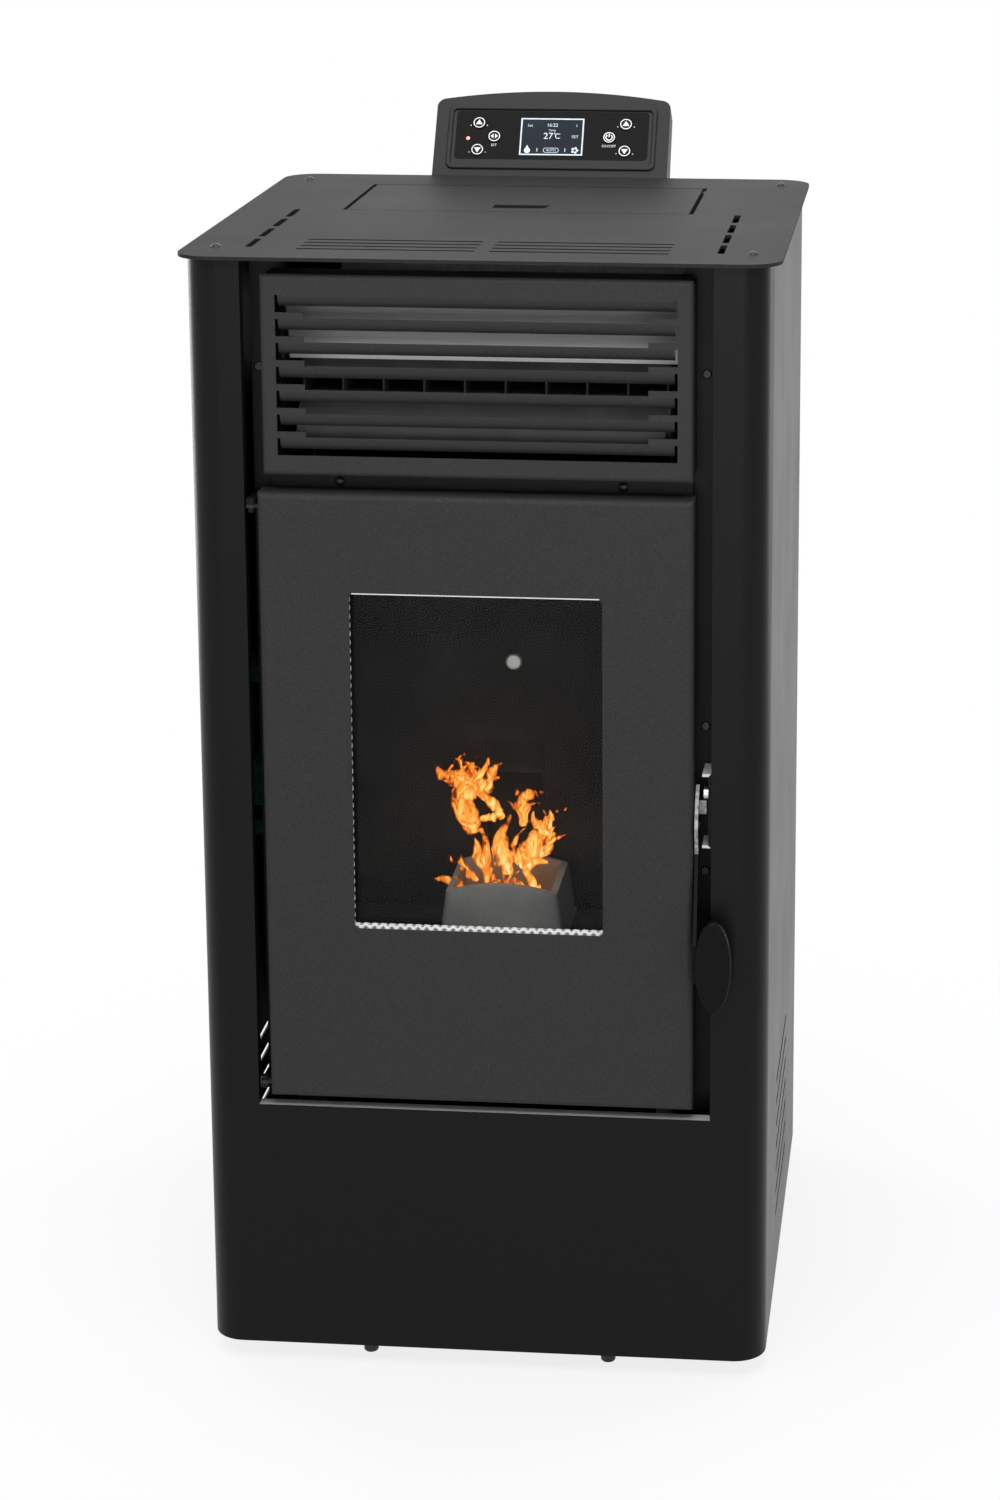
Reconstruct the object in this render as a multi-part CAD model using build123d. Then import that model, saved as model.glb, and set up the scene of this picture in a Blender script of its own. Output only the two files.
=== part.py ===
from build123d import *
import math
import os

# A free-standing pellet stove, in millimetres. X runs to the viewer's right, Y to the rear, Z up.
# The origin lies on the floor, under the middle of the stove's overall width and depth.

# ---------------------------------------------------------------- clearances
seat_gap = 0.3          # between pieces that seat on each other but move or come apart
running_gap = 0.08      # radial gap of a pin, shaft or bearing
screw_gap = 0.1         # radial gap round a screw's shank
sheet_gap = 0.5         # round a piece that passes through a hole in a sheet
bite = 0.5              # how far the shapes of one piece run into each other, so that they join
weld_gap = 0.01         # between a tube and the sheets that are welded round it
cut_margin = 20.0       # how far a long cut runs on past the piece that it goes through

# ---------------------------------------------------------------- cabinet
body_width = 486.0
body_depth = 496.0
body_height = 959.5
floor_gap = 16.0
shell_sheet = 1.5
front_corner_radius = 28.0
rear_corner_radius = 6.0
rear_flange = 16.0
opening_side_margin = 48.0
lower_panel_height = 222.0
opening_lip = 12.0
tab_length = 27.0
tab_width = 30.0
side_vent_length = 160.0
side_vent_width = 5.7
side_vent_pitch = 21.4
side_vent_count = 7
side_vent_bottom_height = 77.5
side_vent_setback = 248.0

base_sheet = 2.0
base_rim = 20.0
base_slot_length = 90.0
base_slot_width = 6.0
base_slot_pitch = 14.0
base_slot_count = 6

rear_panel_sheet = 1.5
rear_panel_side_margin = 8.0
rear_panel_end_margin = 6.0
rear_vent_length = 70.0
rear_vent_width = 5.0
rear_vent_pitch = 12.0
rear_vent_count = 7
rear_vent_offset = 130.0
rear_vent_drop = 175.5
rear_screw_count = 4

# ---------------------------------------------------------------- top plate
plate_overhang = 7.0
plate_sheet = 3.0
plate_corner_radius = 30.0
side_slot_length = 46.0
side_slot_width = 5.8
side_slot_pitch = 57.7
side_slot_count = 4
side_slot_side_setback = 53.0
side_slot_setback = 77.0
front_slot_length = 150.0
front_slot_width = 5.0
front_slot_pitch = 17.0
front_slot_count = 4
front_slot_middle_gap = 11.0
front_slot_setback = 49.0
plate_screw_side_setback = 26.0
plate_screw_front_setback = 55.0
plate_screw_rear_setback = 40.0
dome_head_radius = 4.5
dome_head_height = 2.6
dome_shank_radius = 2.0
dome_shank_length = 8.0

# ---------------------------------------------------------------- hopper and lid
lid_side_setback = 93.0
lid_opening_depth = 167.0
lid_opening_setback = 275.0
lid_side_gap = 4.0
lid_front_gap = 1.0
lid_rear_gap = 2.5
lid_flange = 11.0
lid_flange_sheet = 1.5
lid_ledge = 8.0
lid_flange_setback = 2.0
lid_axis_setback = 10.0
lid_axis_drop = 5.5
lid_pin_radius = 2.5
finger_slot_length = 51.0
finger_slot_width = 20.0
finger_slot_taper = 5.0
finger_slot_setback = 22.0
hopper_sheet = 1.5
hopper_flange = 12.0
hopper_taper_height = 160.5
throat_width = 50.0
throat_depth = 52.0
throat_rise = 100.0

# ---------------------------------------------------------------- control panel
panel_width = 226.0
panel_side_height = 82.0
panel_arch = 10.0
panel_corner_radius = 9.0
panel_tilt = 35.0
panel_thickness = 24.0
panel_foot = 30.0
panel_tail = 60.0
panel_pocket = 9.0
bezel_width = 202.0
bezel_height = 69.0
bezel_bottom = 7.0
bezel_rim = 5.0
bezel_proud = 2.0
bezel_corner_radius = 7.0
label_width = 186.0
label_height = 52.0
label_bottom = 18.0
label_sheet = 1.5
label_corner_radius = 4.0
label_ledge = 4.0
screen_width = 61.0
screen_height = 40.0
screen_bottom = 23.0
screen_depth = 4.0
screen_recess = 0.2
screen_frame = 3.0
key_radius = 6.5
key_length = 5.0
key_proud = 1.0
key_gap = 0.3
key_row_pitch = 14.5
key_middle_row = 42.5
key_outer_offset = 71.0
key_inner_offset = 55.5

# ---------------------------------------------------------------- front frame
post_width = 25.5
post_depth = 25.0
post_sheet = 2.0
post_setback = 36.0
post_side_gap = 1.5
post_slot_length = 27.0
post_slot_width = 6.0
post_slot_pitch = 74.0
post_slot_count = 6
post_slot_setback = 12.0
post_slot_drop = 70.0
post_screw_margin = 6.0
post_screw_top_drop = 95.5
post_screw_over_catch = 33.0
post_screw_under_catch = 30.0
rail_sheet = 1.5
rail_depth = 9.7
rail_height = 16.0
rail_door_overlap = 3.0
rail_bolt_offset = 119.0
pan_head_radius = 4.0
pan_head_height = 2.4
pan_shank_radius = 1.8
pan_shank_length = 6.0

# ---------------------------------------------------------------- air outlet
grille_side_gap = 16.0
grille_height = 168.0
grille_top_gap = 12.5
grille_sheet = 1.5
grille_roll_radius = 4.0
grille_notch = 4.0
window_side_margin = 13.0
window_top_margin = 16.5
louvre_count = 7
louvre_pitch = 20.0
louvre_slot_height = 14.6
louvre_tab_length = 24.0
louvre_end_gap = 2.5
louvre_radius = 11.0
louvre_angle = 68.0
duct_side_margin = 25.0
duct_outlet_setback = 55.0
duct_outlet_height = 24.0
duct_top_drop = 99.5
duct_length = 205.0
duct_sheet = 1.5
duct_lip_height = 8.0
duct_divider_count = 8
duct_divider_pitch = 34.3
duct_divider_depth = 40.0
duct_chin_radius = 34.0
deflector_sheet = 1.5
deflector_radius = 80.0
deflector_angle = 62.0
deflector_side_gap = 1.0

# ---------------------------------------------------------------- door
door_bottom_gap = 9.5
door_top_gap = 15.0
door_proud = 4.0
door_depth = 28.0
door_sheet = 2.0
door_edge_radius = 5.0
glass_window_side_margin = 76.0
glass_window_top_margin = 84.0
glass_window_bottom_margin = 154.5
glass_window_corner = 4.0
glass_overlap = 14.0
glass_thickness = 4.0
glass_corner_radius = 6.0
gasket_width = 9.0
gasket_thickness = 8.0
clip_foot_length = 13.0
clip_width = 20.0
clip_sheet = 1.5
clip_grip = 7.0
seal_left_margin = 26.0
seal_right_margin = 22.0
seal_bottom_margin = 5.5
seal_top_margin = 29.0
seal_width = 10.0
seal_thickness = 11.0
seal_corner_radius = 12.0
channel_sheet = 1.5
hinge_side_gap = 5.5
hinge_edge_gap = 0.9
hinge_axis_setback = 2.0
hinge_pin_radius = 3.0
hinge_lug_radius = 4.6
hinge_lug_sheet = 3.0
hinge_tab_sheet = 3.0
hinge_tab_width = 4.0
hinge_washer_radius = 4.8
hinge_washer_sheet = 2.0
hinge_top_drop = 10.0
hinge_plate_width = 21.0
hinge_plate_height = 26.0
hinge_plate_sheet = 3.0
hinge_plate_rise = 10.0
hinge_pin_tail = 4.0

# ---------------------------------------------------------------- handle and catch
lever_sheet = 3.0
lever_gap = 1.2
lever_pivot_rise = 252.5
lever_pivot_setback = 8.0
lever_pivot_radius = 2.5
lever_head_radius = 12.0
lever_top_rise = 33.0
lever_width = 13.0
lever_foot_drop = 116.0
lever_foot_reach = 13.0
lever_tongue_reach = 6.0
lever_tongue_height = 12.0
lever_tongue_thickness = 3.0
knob_height = 81.0
knob_width = 31.0
knob_thickness = 8.0
knob_edge_radius = 3.0
knob_drop = 115.0
knob_side_reach = 14.3
knob_reach = 26.0
knob_tab_height = 34.0
catch_top_rise = 45.0
catch_bottom_drop = 20.0
catch_sheet = 2.5
catch_width = 7.5
catch_side_gap = 0.5
catch_lever_gap = 2.8
catch_reach = 30.0
roller_radius = 5.5
roller_width = 4.0
roller_rise = 26.0
roller_side_gap = 1.0
roller_setback = 14.0
roller_pin_radius = 2.0

# ---------------------------------------------------------------- firebox
firebox_post_gap = 3.0
firebox_rail_gap = 1.0
firebox_seal_rim = 1.0
firebox_depth = 205.0
firebox_plate = 4.0
firebox_door_gap = 6.0
mouth_side_lap = 18.0
mouth_end_lap = 14.0
fireback_thickness = 6.0
fireback_side_gap = 15.0
fireback_top_gap = 33.0
fireback_bolt_rise = 234.0
fireback_bolt_radius = 7.5
fireback_bolt_head = 5.0
stand_side_setback = 20.0
stand_end_setback = 17.5
stand_sheet = 2.0
holder_rise = 88.0
holder_plate = 3.0
pot_width = 96.0
pot_depth = 88.0
pot_setback = 125.0
pot_wall = 4.0
pot_skirt = 18.0
pot_corner_radius = 7.0
pot_flange = 8.0
pot_flange_thickness = 4.0
pot_front_height = 57.0
pot_arch = 8.0
pot_top_width = 99.0
pot_rear_height = 25.0
pot_hole_radius = 2.5
pot_hole_pitch = 16.0
pot_hole_rows = 4
pot_gap = 1.0
drawer_side_gap = 6.0
drawer_height = 50.0
drawer_depth = 170.0
drawer_wall = 2.0
drawer_setback = 16.0
drawer_lift = 1.0
drawer_runner_width = 9.0
drawer_pull_length = 70.0
drawer_pull_height = 10.0
igniter_radius = 5.0
igniter_rise = 13.0
igniter_socket_radius = 8.0
igniter_socket_gap = 4.0
igniter_socket_tail = 6.0
igniter_collar_width = 4.0
igniter_collar_thickness = 3.0
igniter_tail = 50.0

# ---------------------------------------------------------------- pellet feed
auger_angle = 50.0
auger_start_reach = 168.0
auger_start_rise = 188.0
auger_length = 190.0
auger_tube_radius = 30.0
auger_tube_wall = 2.0
auger_flight_radius = 26.0
auger_flight_thickness = 2.5
auger_pitch = 40.0
auger_turns = 4
auger_shaft_radius = 8.0
auger_inlet_centre = 50.0
auger_outlet_centre = 163.0
auger_outlet_length = 44.0
auger_outlet_margin = 4.0
auger_end_plate = 3.0
gearbox_size = 58.0
gearbox_length = 34.0
gearbox_corner_radius = 5.0
motor_radius = 24.0
motor_length = 44.0
motor_edge_radius = 4.0
chute_width = 50.0
chute_wall = 2.0
chute_mouth_rise = 122.0
chute_mouth_height = 98.0
chute_bite = 6.0

# ---------------------------------------------------------------- exhaust and air inlet
blower_offset = 95.0
blower_setback = 372.0
blower_height = 176.0
scroll_radius = 82.0
scroll_width = 60.0
scroll_sheet = 2.0
scroll_outlet_height = 76.0
scroll_outlet_setback = 12.0
scroll_inlet_radius = 34.0
impeller_radius = 64.0
impeller_width = 40.0
impeller_hub_radius = 10.0
impeller_blade = 2.0
impeller_blade_count = 8
exhaust_motor_radius = 36.0
exhaust_motor_length = 58.0
exhaust_motor_edge_radius = 5.0
exhaust_shaft_radius = 4.0
manifold_width = 190.0
manifold_depth = 44.0
manifold_height = 62.0
manifold_sheet = 2.0
manifold_rise = 8.0
manifold_left_offset = -45.0
manifold_duct_width = 44.0
manifold_duct_drop = 44.0
flue_radius = 40.0
flue_wall = 1.5
flue_projection = 90.0
flue_flange = 8.0
inlet_radius = 25.0
inlet_wall = 1.5
inlet_offset = -110.0
inlet_rise = 44.0
inlet_projection = 45.0
pipe_stop_proud = 3.0

# ---------------------------------------------------------------- convection blower
drum_radius = 30.0
drum_length = 180.0
drum_left_setback = 57.0
drum_setback = 390.0
drum_height = 92.0
drum_blade_count = 18
drum_blade_width = 8.0
drum_blade_thickness = 1.5
drum_disc = 2.0
drum_shaft_radius = 4.0
guide_gap = 8.0
guide_sheet = 1.5
guide_end_margin = 6.0
convection_motor_radius = 26.0
convection_motor_length = 38.0
convection_motor_edge_radius = 4.0

# ---------------------------------------------------------------- electrics
board_width = 130.0
board_height = 170.0
board_sheet = 1.6
board_setback = 150.0
board_bottom_height = 420.0
board_standoff = 10.0
board_terminal_height = 16.0
board_transformer_height = 20.0
board_relay_height = 14.0
board_chip_height = 4.0
board_connector_height = 12.0
inlet_socket_width = 48.0
inlet_socket_height = 28.0
inlet_socket_depth = 24.0
inlet_socket_flange = 2.0
inlet_socket_rim = 4.0
inlet_well_depth = 17.0
inlet_well_side_margin = 10.0
inlet_well_end_margin = 5.0
inlet_pin_pitch = 8.0
inlet_pin_width = 4.0
inlet_pin_thickness = 2.0
inlet_socket_side_setback = 53.0
inlet_socket_centre_height = 230.0

# ---------------------------------------------------------------- levelling feet
foot_head_radius = 6.5
foot_head_rounding = 2.5
foot_stud_radius = 4.0
foot_stud_length = 46.0
foot_nut_radius = 9.0
foot_nut_height = 12.0
foot_side_setback = 138.0
foot_front_setback = 24.0
foot_rear_setback = 30.0

# ---------------------------------------------------------------- places worked out from the sizes
total_depth = knob_reach + body_depth + flue_projection
front_y = knob_reach - total_depth / 2
rear_y = front_y + body_depth
middle_y = (front_y + rear_y) / 2
shell_bottom = floor_gap
shell_top = floor_gap + body_height
plate_top = shell_top + plate_sheet
plate_front_y = front_y - plate_overhang
plate_rear_y = rear_y + plate_overhang
plate_half_width = body_width / 2 + plate_overhang
plate_screw_offset = plate_half_width - plate_screw_side_setback
side_slot_offset = plate_half_width - side_slot_side_setback
lid_opening_width = 2 * (plate_half_width - lid_side_setback)
opening_width = body_width - 2 * opening_side_margin
opening_bottom = shell_bottom + lower_panel_height
base_top = shell_bottom + base_sheet
rear_face_y = rear_y + rear_panel_sheet

lid_open_front_y = plate_front_y + lid_opening_setback
lid_open_rear_y = lid_open_front_y + lid_opening_depth
lid_axis_y = lid_open_rear_y - lid_rear_gap - lid_axis_setback
lid_axis_z = plate_top - lid_axis_drop
lid_sheet = plate_sheet - seat_gap

post_face_y = front_y + post_setback
post_outer_offset = opening_width / 2 - post_side_gap
post_inner_offset = post_outer_offset - post_width
grille_width = opening_width - 2 * grille_side_gap
window_width = grille_width - 2 * window_side_margin
grille_top = shell_top - grille_top_gap
grille_bottom = grille_top - grille_height
grille_depth = post_setback - seat_gap
window_top = grille_top - window_top_margin
window_height = (louvre_count - 1) * louvre_pitch + louvre_slot_height
duct_width = grille_width - 2 * duct_side_margin
duct_top = shell_top - duct_top_drop
deflector_width = window_width - 2 * deflector_side_gap

catch_outer_x = opening_width / 2 - catch_side_gap
catch_inner_x = catch_outer_x - catch_width
lever_outer = catch_inner_x - catch_lever_gap
lever_inner = lever_outer - lever_sheet
hinge_x = hinge_edge_gap + hinge_lug_radius - opening_width / 2
hinge_y = front_y + hinge_axis_setback

door_front_y = front_y - door_proud
door_back_y = door_front_y + door_depth
door_left = hinge_x + hinge_side_gap
door_right = lever_inner - lever_gap
door_bottom = opening_bottom + door_bottom_gap
door_top = grille_bottom - door_top_gap
door_middle_x = (door_left + door_right) / 2
rail_bottom = door_top - rail_door_overlap
glass_window_width = door_right - door_left - 2 * glass_window_side_margin
glass_window_height = door_top - door_bottom - glass_window_top_margin - glass_window_bottom_margin
glass_top = door_top - glass_window_top_margin
glass_centre_z = glass_top - glass_window_height / 2
gasket_back_y = door_front_y + door_sheet + gasket_thickness
glass_back_y = gasket_back_y + glass_thickness
seal_outer_width = door_right - door_left - seal_left_margin - seal_right_margin
seal_outer_height = door_top - door_bottom - seal_bottom_margin - seal_top_margin
seal_bottom = door_bottom + seal_bottom_margin
seal_centre_x = door_left + seal_left_margin + seal_outer_width / 2
seal_centre_z = seal_bottom + seal_outer_height / 2

firebox_front_y = door_back_y + firebox_door_gap
firebox_back_y = firebox_front_y + firebox_depth
seal_web_y = firebox_front_y - seat_gap - seal_thickness
firebox_width = 2 * (post_inner_offset - firebox_post_gap)
firebox_bottom = seal_bottom - firebox_seal_rim
firebox_top = rail_bottom - firebox_rail_gap
firebox_floor = firebox_bottom + firebox_plate
mouth_width = seal_outer_width - 2 * mouth_side_lap
mouth_height = seal_outer_height - 2 * mouth_end_lap
mouth_bottom = seal_bottom + mouth_end_lap
fireback_y = firebox_back_y - firebox_plate - fireback_thickness
drawer_bottom = mouth_bottom + drawer_lift
drawer_width = mouth_width - 2 * drawer_side_gap
holder_bottom = firebox_bottom + holder_rise
holder_top = holder_bottom + holder_plate
pot_front_y = front_y + pot_setback
pot_rear_y = pot_front_y + pot_depth
igniter_z = holder_top + igniter_rise
chute_mouth_bottom = firebox_bottom + chute_mouth_rise
chute_mouth_top = chute_mouth_bottom + chute_mouth_height
auger_start_y = firebox_back_y + auger_start_reach
auger_start_z = firebox_bottom + auger_start_rise
throat_z = auger_start_z + throat_rise

lever_pivot_y = front_y + lever_pivot_setback
lever_pivot_z = door_bottom + lever_pivot_rise
catch_top = lever_pivot_z + catch_top_rise
catch_bottom = lever_pivot_z - catch_bottom_drop
roller_y = front_y + roller_setback
roller_z = lever_pivot_z + roller_rise
knob_x = lever_outer + knob_side_reach
knob_z = lever_pivot_z - knob_drop
knob_front_y = front_y - knob_reach
knob_back_y = knob_front_y + knob_thickness

scroll_left = blower_offset - scroll_width / 2
scroll_right = blower_offset + scroll_width / 2
blower_y = front_y + blower_setback
scroll_bottom = blower_height - scroll_radius
flue_z = scroll_bottom + scroll_outlet_height / 2
scroll_outlet_y = rear_y - scroll_outlet_setback
inlet_z = firebox_floor + inlet_rise
pipe_stop_y = rear_face_y + pipe_stop_proud
drum_left_offset = drum_left_setback - body_width / 2
drum_right_offset = drum_left_offset + drum_length
drum_y = front_y + drum_setback


# ---------------------------------------------------------------- helpers
def block(x_range, y_range, z_range):
    """A box given by its lowest and highest coordinate along each axis."""
    size = [high - low for low, high in (x_range, y_range, z_range)]
    centre = [(high + low) / 2 for low, high in (x_range, y_range, z_range)]
    return Pos(*centre) * Box(*size)


def rod(radius, start, end):
    """A round bar between two points."""
    axis = Vector(*end) - Vector(*start)
    return Plane(origin=start, z_dir=axis) * Pos(0, 0, axis.length / 2) * Cylinder(radius, axis.length)


def tube(radius, wall, start, end):
    """A round tube between two points, with its outer radius given."""
    return rod(radius, start, end) - rod(radius - wall, start, end)


def upright(sketch, y_range):
    """A sketch drawn in X and Z, given thickness from one Y to another."""
    plane = Plane(origin=(0, y_range[0], 0), x_dir=(1, 0, 0), z_dir=(0, -1, 0))
    return extrude(plane * sketch, -(y_range[1] - y_range[0]))


def sideways(sketch, x_range):
    """A sketch drawn in Y and Z, given thickness from one X to another."""
    plane = Plane(origin=(x_range[0], 0, 0), x_dir=(0, 1, 0), z_dir=(1, 0, 0))
    return extrude(plane * sketch, x_range[1] - x_range[0])


def level(sketch, z_range):
    """A sketch drawn in X and Y, given thickness from one Z to another."""
    return extrude(Pos(0, 0, z_range[0]) * sketch, z_range[1] - z_range[0])


def rounded(width, height, radius, x=0.0, y=0.0):
    """A rectangle with round corners about a centre."""
    return Pos(x, y) * RectangleRounded(width, height, radius)


def slot_row(length, width, x, start, pitch, count, upright_slots=False):
    """A row of round-ended slots stepped along the second axis of the sketch."""
    turn = 90 if upright_slots else 0
    return [Pos(x, start + step * pitch) * Rot(0, 0, turn) * SlotOverall(length, width) for step in range(count)]


def cabinet_plan(inset):
    """The cabinet's outline seen from above, drawn in from the outside by an inset."""
    plan = Pos(0, middle_y) * Rectangle(body_width - 2 * inset, body_depth - 2 * inset)
    plan = fillet(plan.vertices().sort_by(Axis.Y)[:2], front_corner_radius - inset)
    return fillet(plan.vertices().sort_by(Axis.Y)[-2:], rear_corner_radius - inset)


def dome_screw(x, y, z, direction):
    """A dome-head screw whose head seats at a point and whose shank runs along a direction."""
    shoulder = (dome_head_radius, 0)
    crown = (0, dome_head_height)
    cap_radius = (dome_head_radius**2 + dome_head_height**2) / (2 * dome_head_height)
    lean = math.asin(dome_head_radius / cap_radius) / 2
    middle = (cap_radius * math.sin(lean), dome_head_height - cap_radius * (1 - math.cos(lean)))
    profile = make_face([
        Line((0, -dome_shank_length), (dome_shank_radius, -dome_shank_length)),
        Line((dome_shank_radius, -dome_shank_length), (dome_shank_radius, 0)),
        Line((dome_shank_radius, 0), shoulder),
        ThreePointArc(shoulder, middle, crown),
        Line(crown, (0, -dome_shank_length)),
    ])
    screw = revolve(Plane.XZ * profile, Axis.Z)
    return Plane(origin=(x, y, z), z_dir=[-part for part in direction]) * screw


def pan_screw(x, y, z, direction):
    """A pan-head screw whose head seats at a point and whose shank runs along a direction."""
    head = Pos(0, 0, pan_head_height / 2) * Cylinder(pan_head_radius, pan_head_height)
    head = fillet(head.edges().filter_by(GeomType.CIRCLE).sort_by(Axis.Z)[-1], pan_head_height / 2)
    shank = Pos(0, 0, -pan_shank_length / 2) * Cylinder(pan_shank_radius, pan_shank_length)
    return Plane(origin=(x, y, z), z_dir=[-part for part in direction]) * (head + shank)


# ---------------------------------------------------------------- cabinet pieces
def plate_screw_places():
    """Where the top plate is screwed down, as X and Y."""
    front = plate_front_y + plate_screw_front_setback
    rear = plate_rear_y - plate_screw_rear_setback
    return [(side * plate_screw_offset, y) for side in (-1, 1) for y in (front, rear)]


def rear_screw_places():
    """Where the rear panel is screwed to the cabinet's rear flanges, as X and Z."""
    first = shell_bottom + 4 * rear_flange
    last = shell_top - 4 * rear_flange
    step = (last - first) / (rear_screw_count - 1)
    offset = body_width / 2 - rear_flange / 2 - rear_panel_side_margin / 2
    return [(side * offset, first + row * step) for side in (-1, 1) for row in range(rear_screw_count)]


def foot_places():
    """The levelling feet by name, as X and Y."""
    rows = (("front", front_y + foot_front_setback), ("rear", rear_y - foot_rear_setback))
    offset = body_width / 2 - foot_side_setback
    sides = (("left", -offset), ("right", offset))
    return {f"levelling_foot_{row}_{side}": (x, y) for row, y in rows for side, x in sides}


def cabinet_shell():
    wall = level(cabinet_plan(0) - cabinet_plan(shell_sheet), (shell_bottom, shell_top))
    inner_x = body_width / 2 - rear_flange
    wall -= block((-inner_x, inner_x), (rear_y - 2 * shell_sheet, rear_y + 1), (shell_bottom - 1, shell_top + 1))
    half = opening_width / 2
    wall -= block((-half, half), (front_y - 1, front_y + 2 * shell_sheet), (opening_bottom, shell_top + 1))
    lip_y = (front_y, front_y + opening_lip)
    for side in (-1, 1):
        edge = sorted((side * half, side * (half + shell_sheet)))
        wall += block(edge, lip_y, (opening_bottom - shell_sheet, shell_top))
    wall += block((-half, half), lip_y, (opening_bottom - shell_sheet, opening_bottom))
    tab_z = (shell_top - shell_sheet, shell_top)
    for x, y in plate_screw_places():
        side = math.copysign(1, x)
        reach = sorted((side * (body_width / 2 - shell_sheet / 2), side * (body_width / 2 - tab_length)))
        wall += block(reach, (y - tab_width / 2, y + tab_width / 2), tab_z)
        wall -= rod(dome_shank_radius + screw_gap, (x, y, shell_top - 4), (x, y, shell_top + 1))
    for x, z in rear_screw_places():
        wall -= rod(pan_shank_radius + screw_gap, (x, rear_y - 4, z), (x, rear_y + 1, z))
    vents = Sketch() + slot_row(side_vent_length, side_vent_width, front_y + side_vent_setback,
                                side_vent_bottom_height, side_vent_pitch, side_vent_count)
    return wall - sideways(vents, (-body_width / 2 - 1, body_width / 2 + 1))


def base_plate():
    outer = cabinet_plan(shell_sheet + seat_gap)
    inner = cabinet_plan(shell_sheet + seat_gap + base_sheet)
    tray = level(outer, (shell_bottom, shell_bottom + base_rim))
    tray -= level(inner, (base_top, shell_bottom + base_rim + 1))
    for x, y in foot_places().values():
        tray += rod(foot_nut_radius, (x, y, base_top), (x, y, base_top + foot_nut_height))
        tray -= rod(foot_stud_radius + running_gap, (x, y, shell_bottom - 1), (x, y, base_top + foot_nut_height + 1))
    slot_x = drum_left_offset + drum_length / 2
    slots = slot_row(base_slot_length, base_slot_width, slot_x, drum_y - 2.5 * base_slot_pitch,
                     base_slot_pitch, base_slot_count)
    tray -= level(Sketch() + slots, (shell_bottom - 1, base_top + 1))
    return tray


def rear_panel():
    half_width = body_width / 2 - rear_panel_side_margin
    bottom = shell_bottom + rear_panel_end_margin
    top = shell_top - rear_panel_end_margin
    thickness = (rear_y, rear_face_y)
    panel = block((-half_width, half_width), thickness, (bottom, top))
    cut = (rear_y - 1, rear_face_y + 1)
    vents = Sketch()
    for side in (-1, 1):
        vents += slot_row(rear_vent_length, rear_vent_width, side * rear_vent_offset, shell_top - rear_vent_drop,
                          rear_vent_pitch, rear_vent_count)
    vents += slot_row(rear_vent_length, rear_vent_width, drum_left_offset + drum_length / 2,
                      drum_height - drum_radius, rear_vent_pitch, rear_vent_count)
    panel -= upright(vents, cut)
    flue_hole = flue_radius + flue_wall + sheet_gap
    panel -= rod(flue_hole, (blower_offset, cut[0], flue_z), (blower_offset, cut[1], flue_z))
    inlet_hole = inlet_radius + inlet_wall + sheet_gap
    panel -= rod(inlet_hole, (inlet_offset, cut[0], inlet_z), (inlet_offset, cut[1], inlet_z))
    half_socket = inlet_socket_width / 2 + screw_gap
    socket_z = inlet_socket_height / 2 + screw_gap
    socket_x = inlet_socket_side_setback - body_width / 2
    panel -= block((socket_x - half_socket, socket_x + half_socket), cut,
                   (inlet_socket_centre_height - socket_z, inlet_socket_centre_height + socket_z))
    for x, z in rear_screw_places():
        panel -= rod(pan_shank_radius + screw_gap, (x, cut[0], z), (x, cut[1], z))
    return panel


def top_plate():
    width = 2 * plate_half_width
    depth = body_depth + 2 * plate_overhang
    plan = rounded(width, depth, plate_corner_radius, 0, middle_y)
    lid_y = (lid_open_front_y + lid_open_rear_y) / 2
    plan -= Pos(0, lid_y) * Rectangle(lid_opening_width, lid_opening_depth)
    side_start = plate_front_y + side_slot_setback
    for side in (-1, 1):
        plan -= slot_row(side_slot_length, side_slot_width, side * side_slot_offset, side_start,
                         side_slot_pitch, side_slot_count, upright_slots=True)
        front_x = side * (front_slot_middle_gap + front_slot_length) / 2
        plan -= slot_row(front_slot_length, front_slot_width, front_x, plate_front_y + front_slot_setback,
                         front_slot_pitch, front_slot_count)
    for x, y in plate_screw_places():
        plan -= Pos(x, y) * Circle(dome_shank_radius + screw_gap)
    return level(plan, (shell_top, plate_top))


def dome_screws():
    screws = [dome_screw(x, y, plate_top, (0, 0, -1)) for x, y in plate_screw_places()]
    rail_z = rail_bottom + rail_height / 2
    screws += [dome_screw(side * rail_bolt_offset, rail_face_y(), rail_z, (0, 1, 0)) for side in (-1, 1)]
    return screws


def levelling_foot(x, y):
    head_top = shell_bottom - seat_gap
    head = rod(foot_head_radius, (x, y, 0), (x, y, head_top))
    head = fillet(head.edges().filter_by(GeomType.CIRCLE).sort_by(Axis.Z)[0], foot_head_rounding)
    return head + rod(foot_stud_radius, (x, y, head_top - 1), (x, y, head_top + foot_stud_length))


# ---------------------------------------------------------------- front frame
def rail_face_y():
    """The front of the cross rail, whose flanges run back to the posts."""
    return post_face_y - seat_gap - rail_depth


def post_screw_places():
    """Visible screws in the posts, as X and Z."""
    middle = post_outer_offset - post_screw_margin
    top = shell_top - post_screw_top_drop
    return [(-middle, top), (middle, top), (middle, catch_top + post_screw_over_catch),
            (middle, catch_bottom - post_screw_under_catch)]


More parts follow.
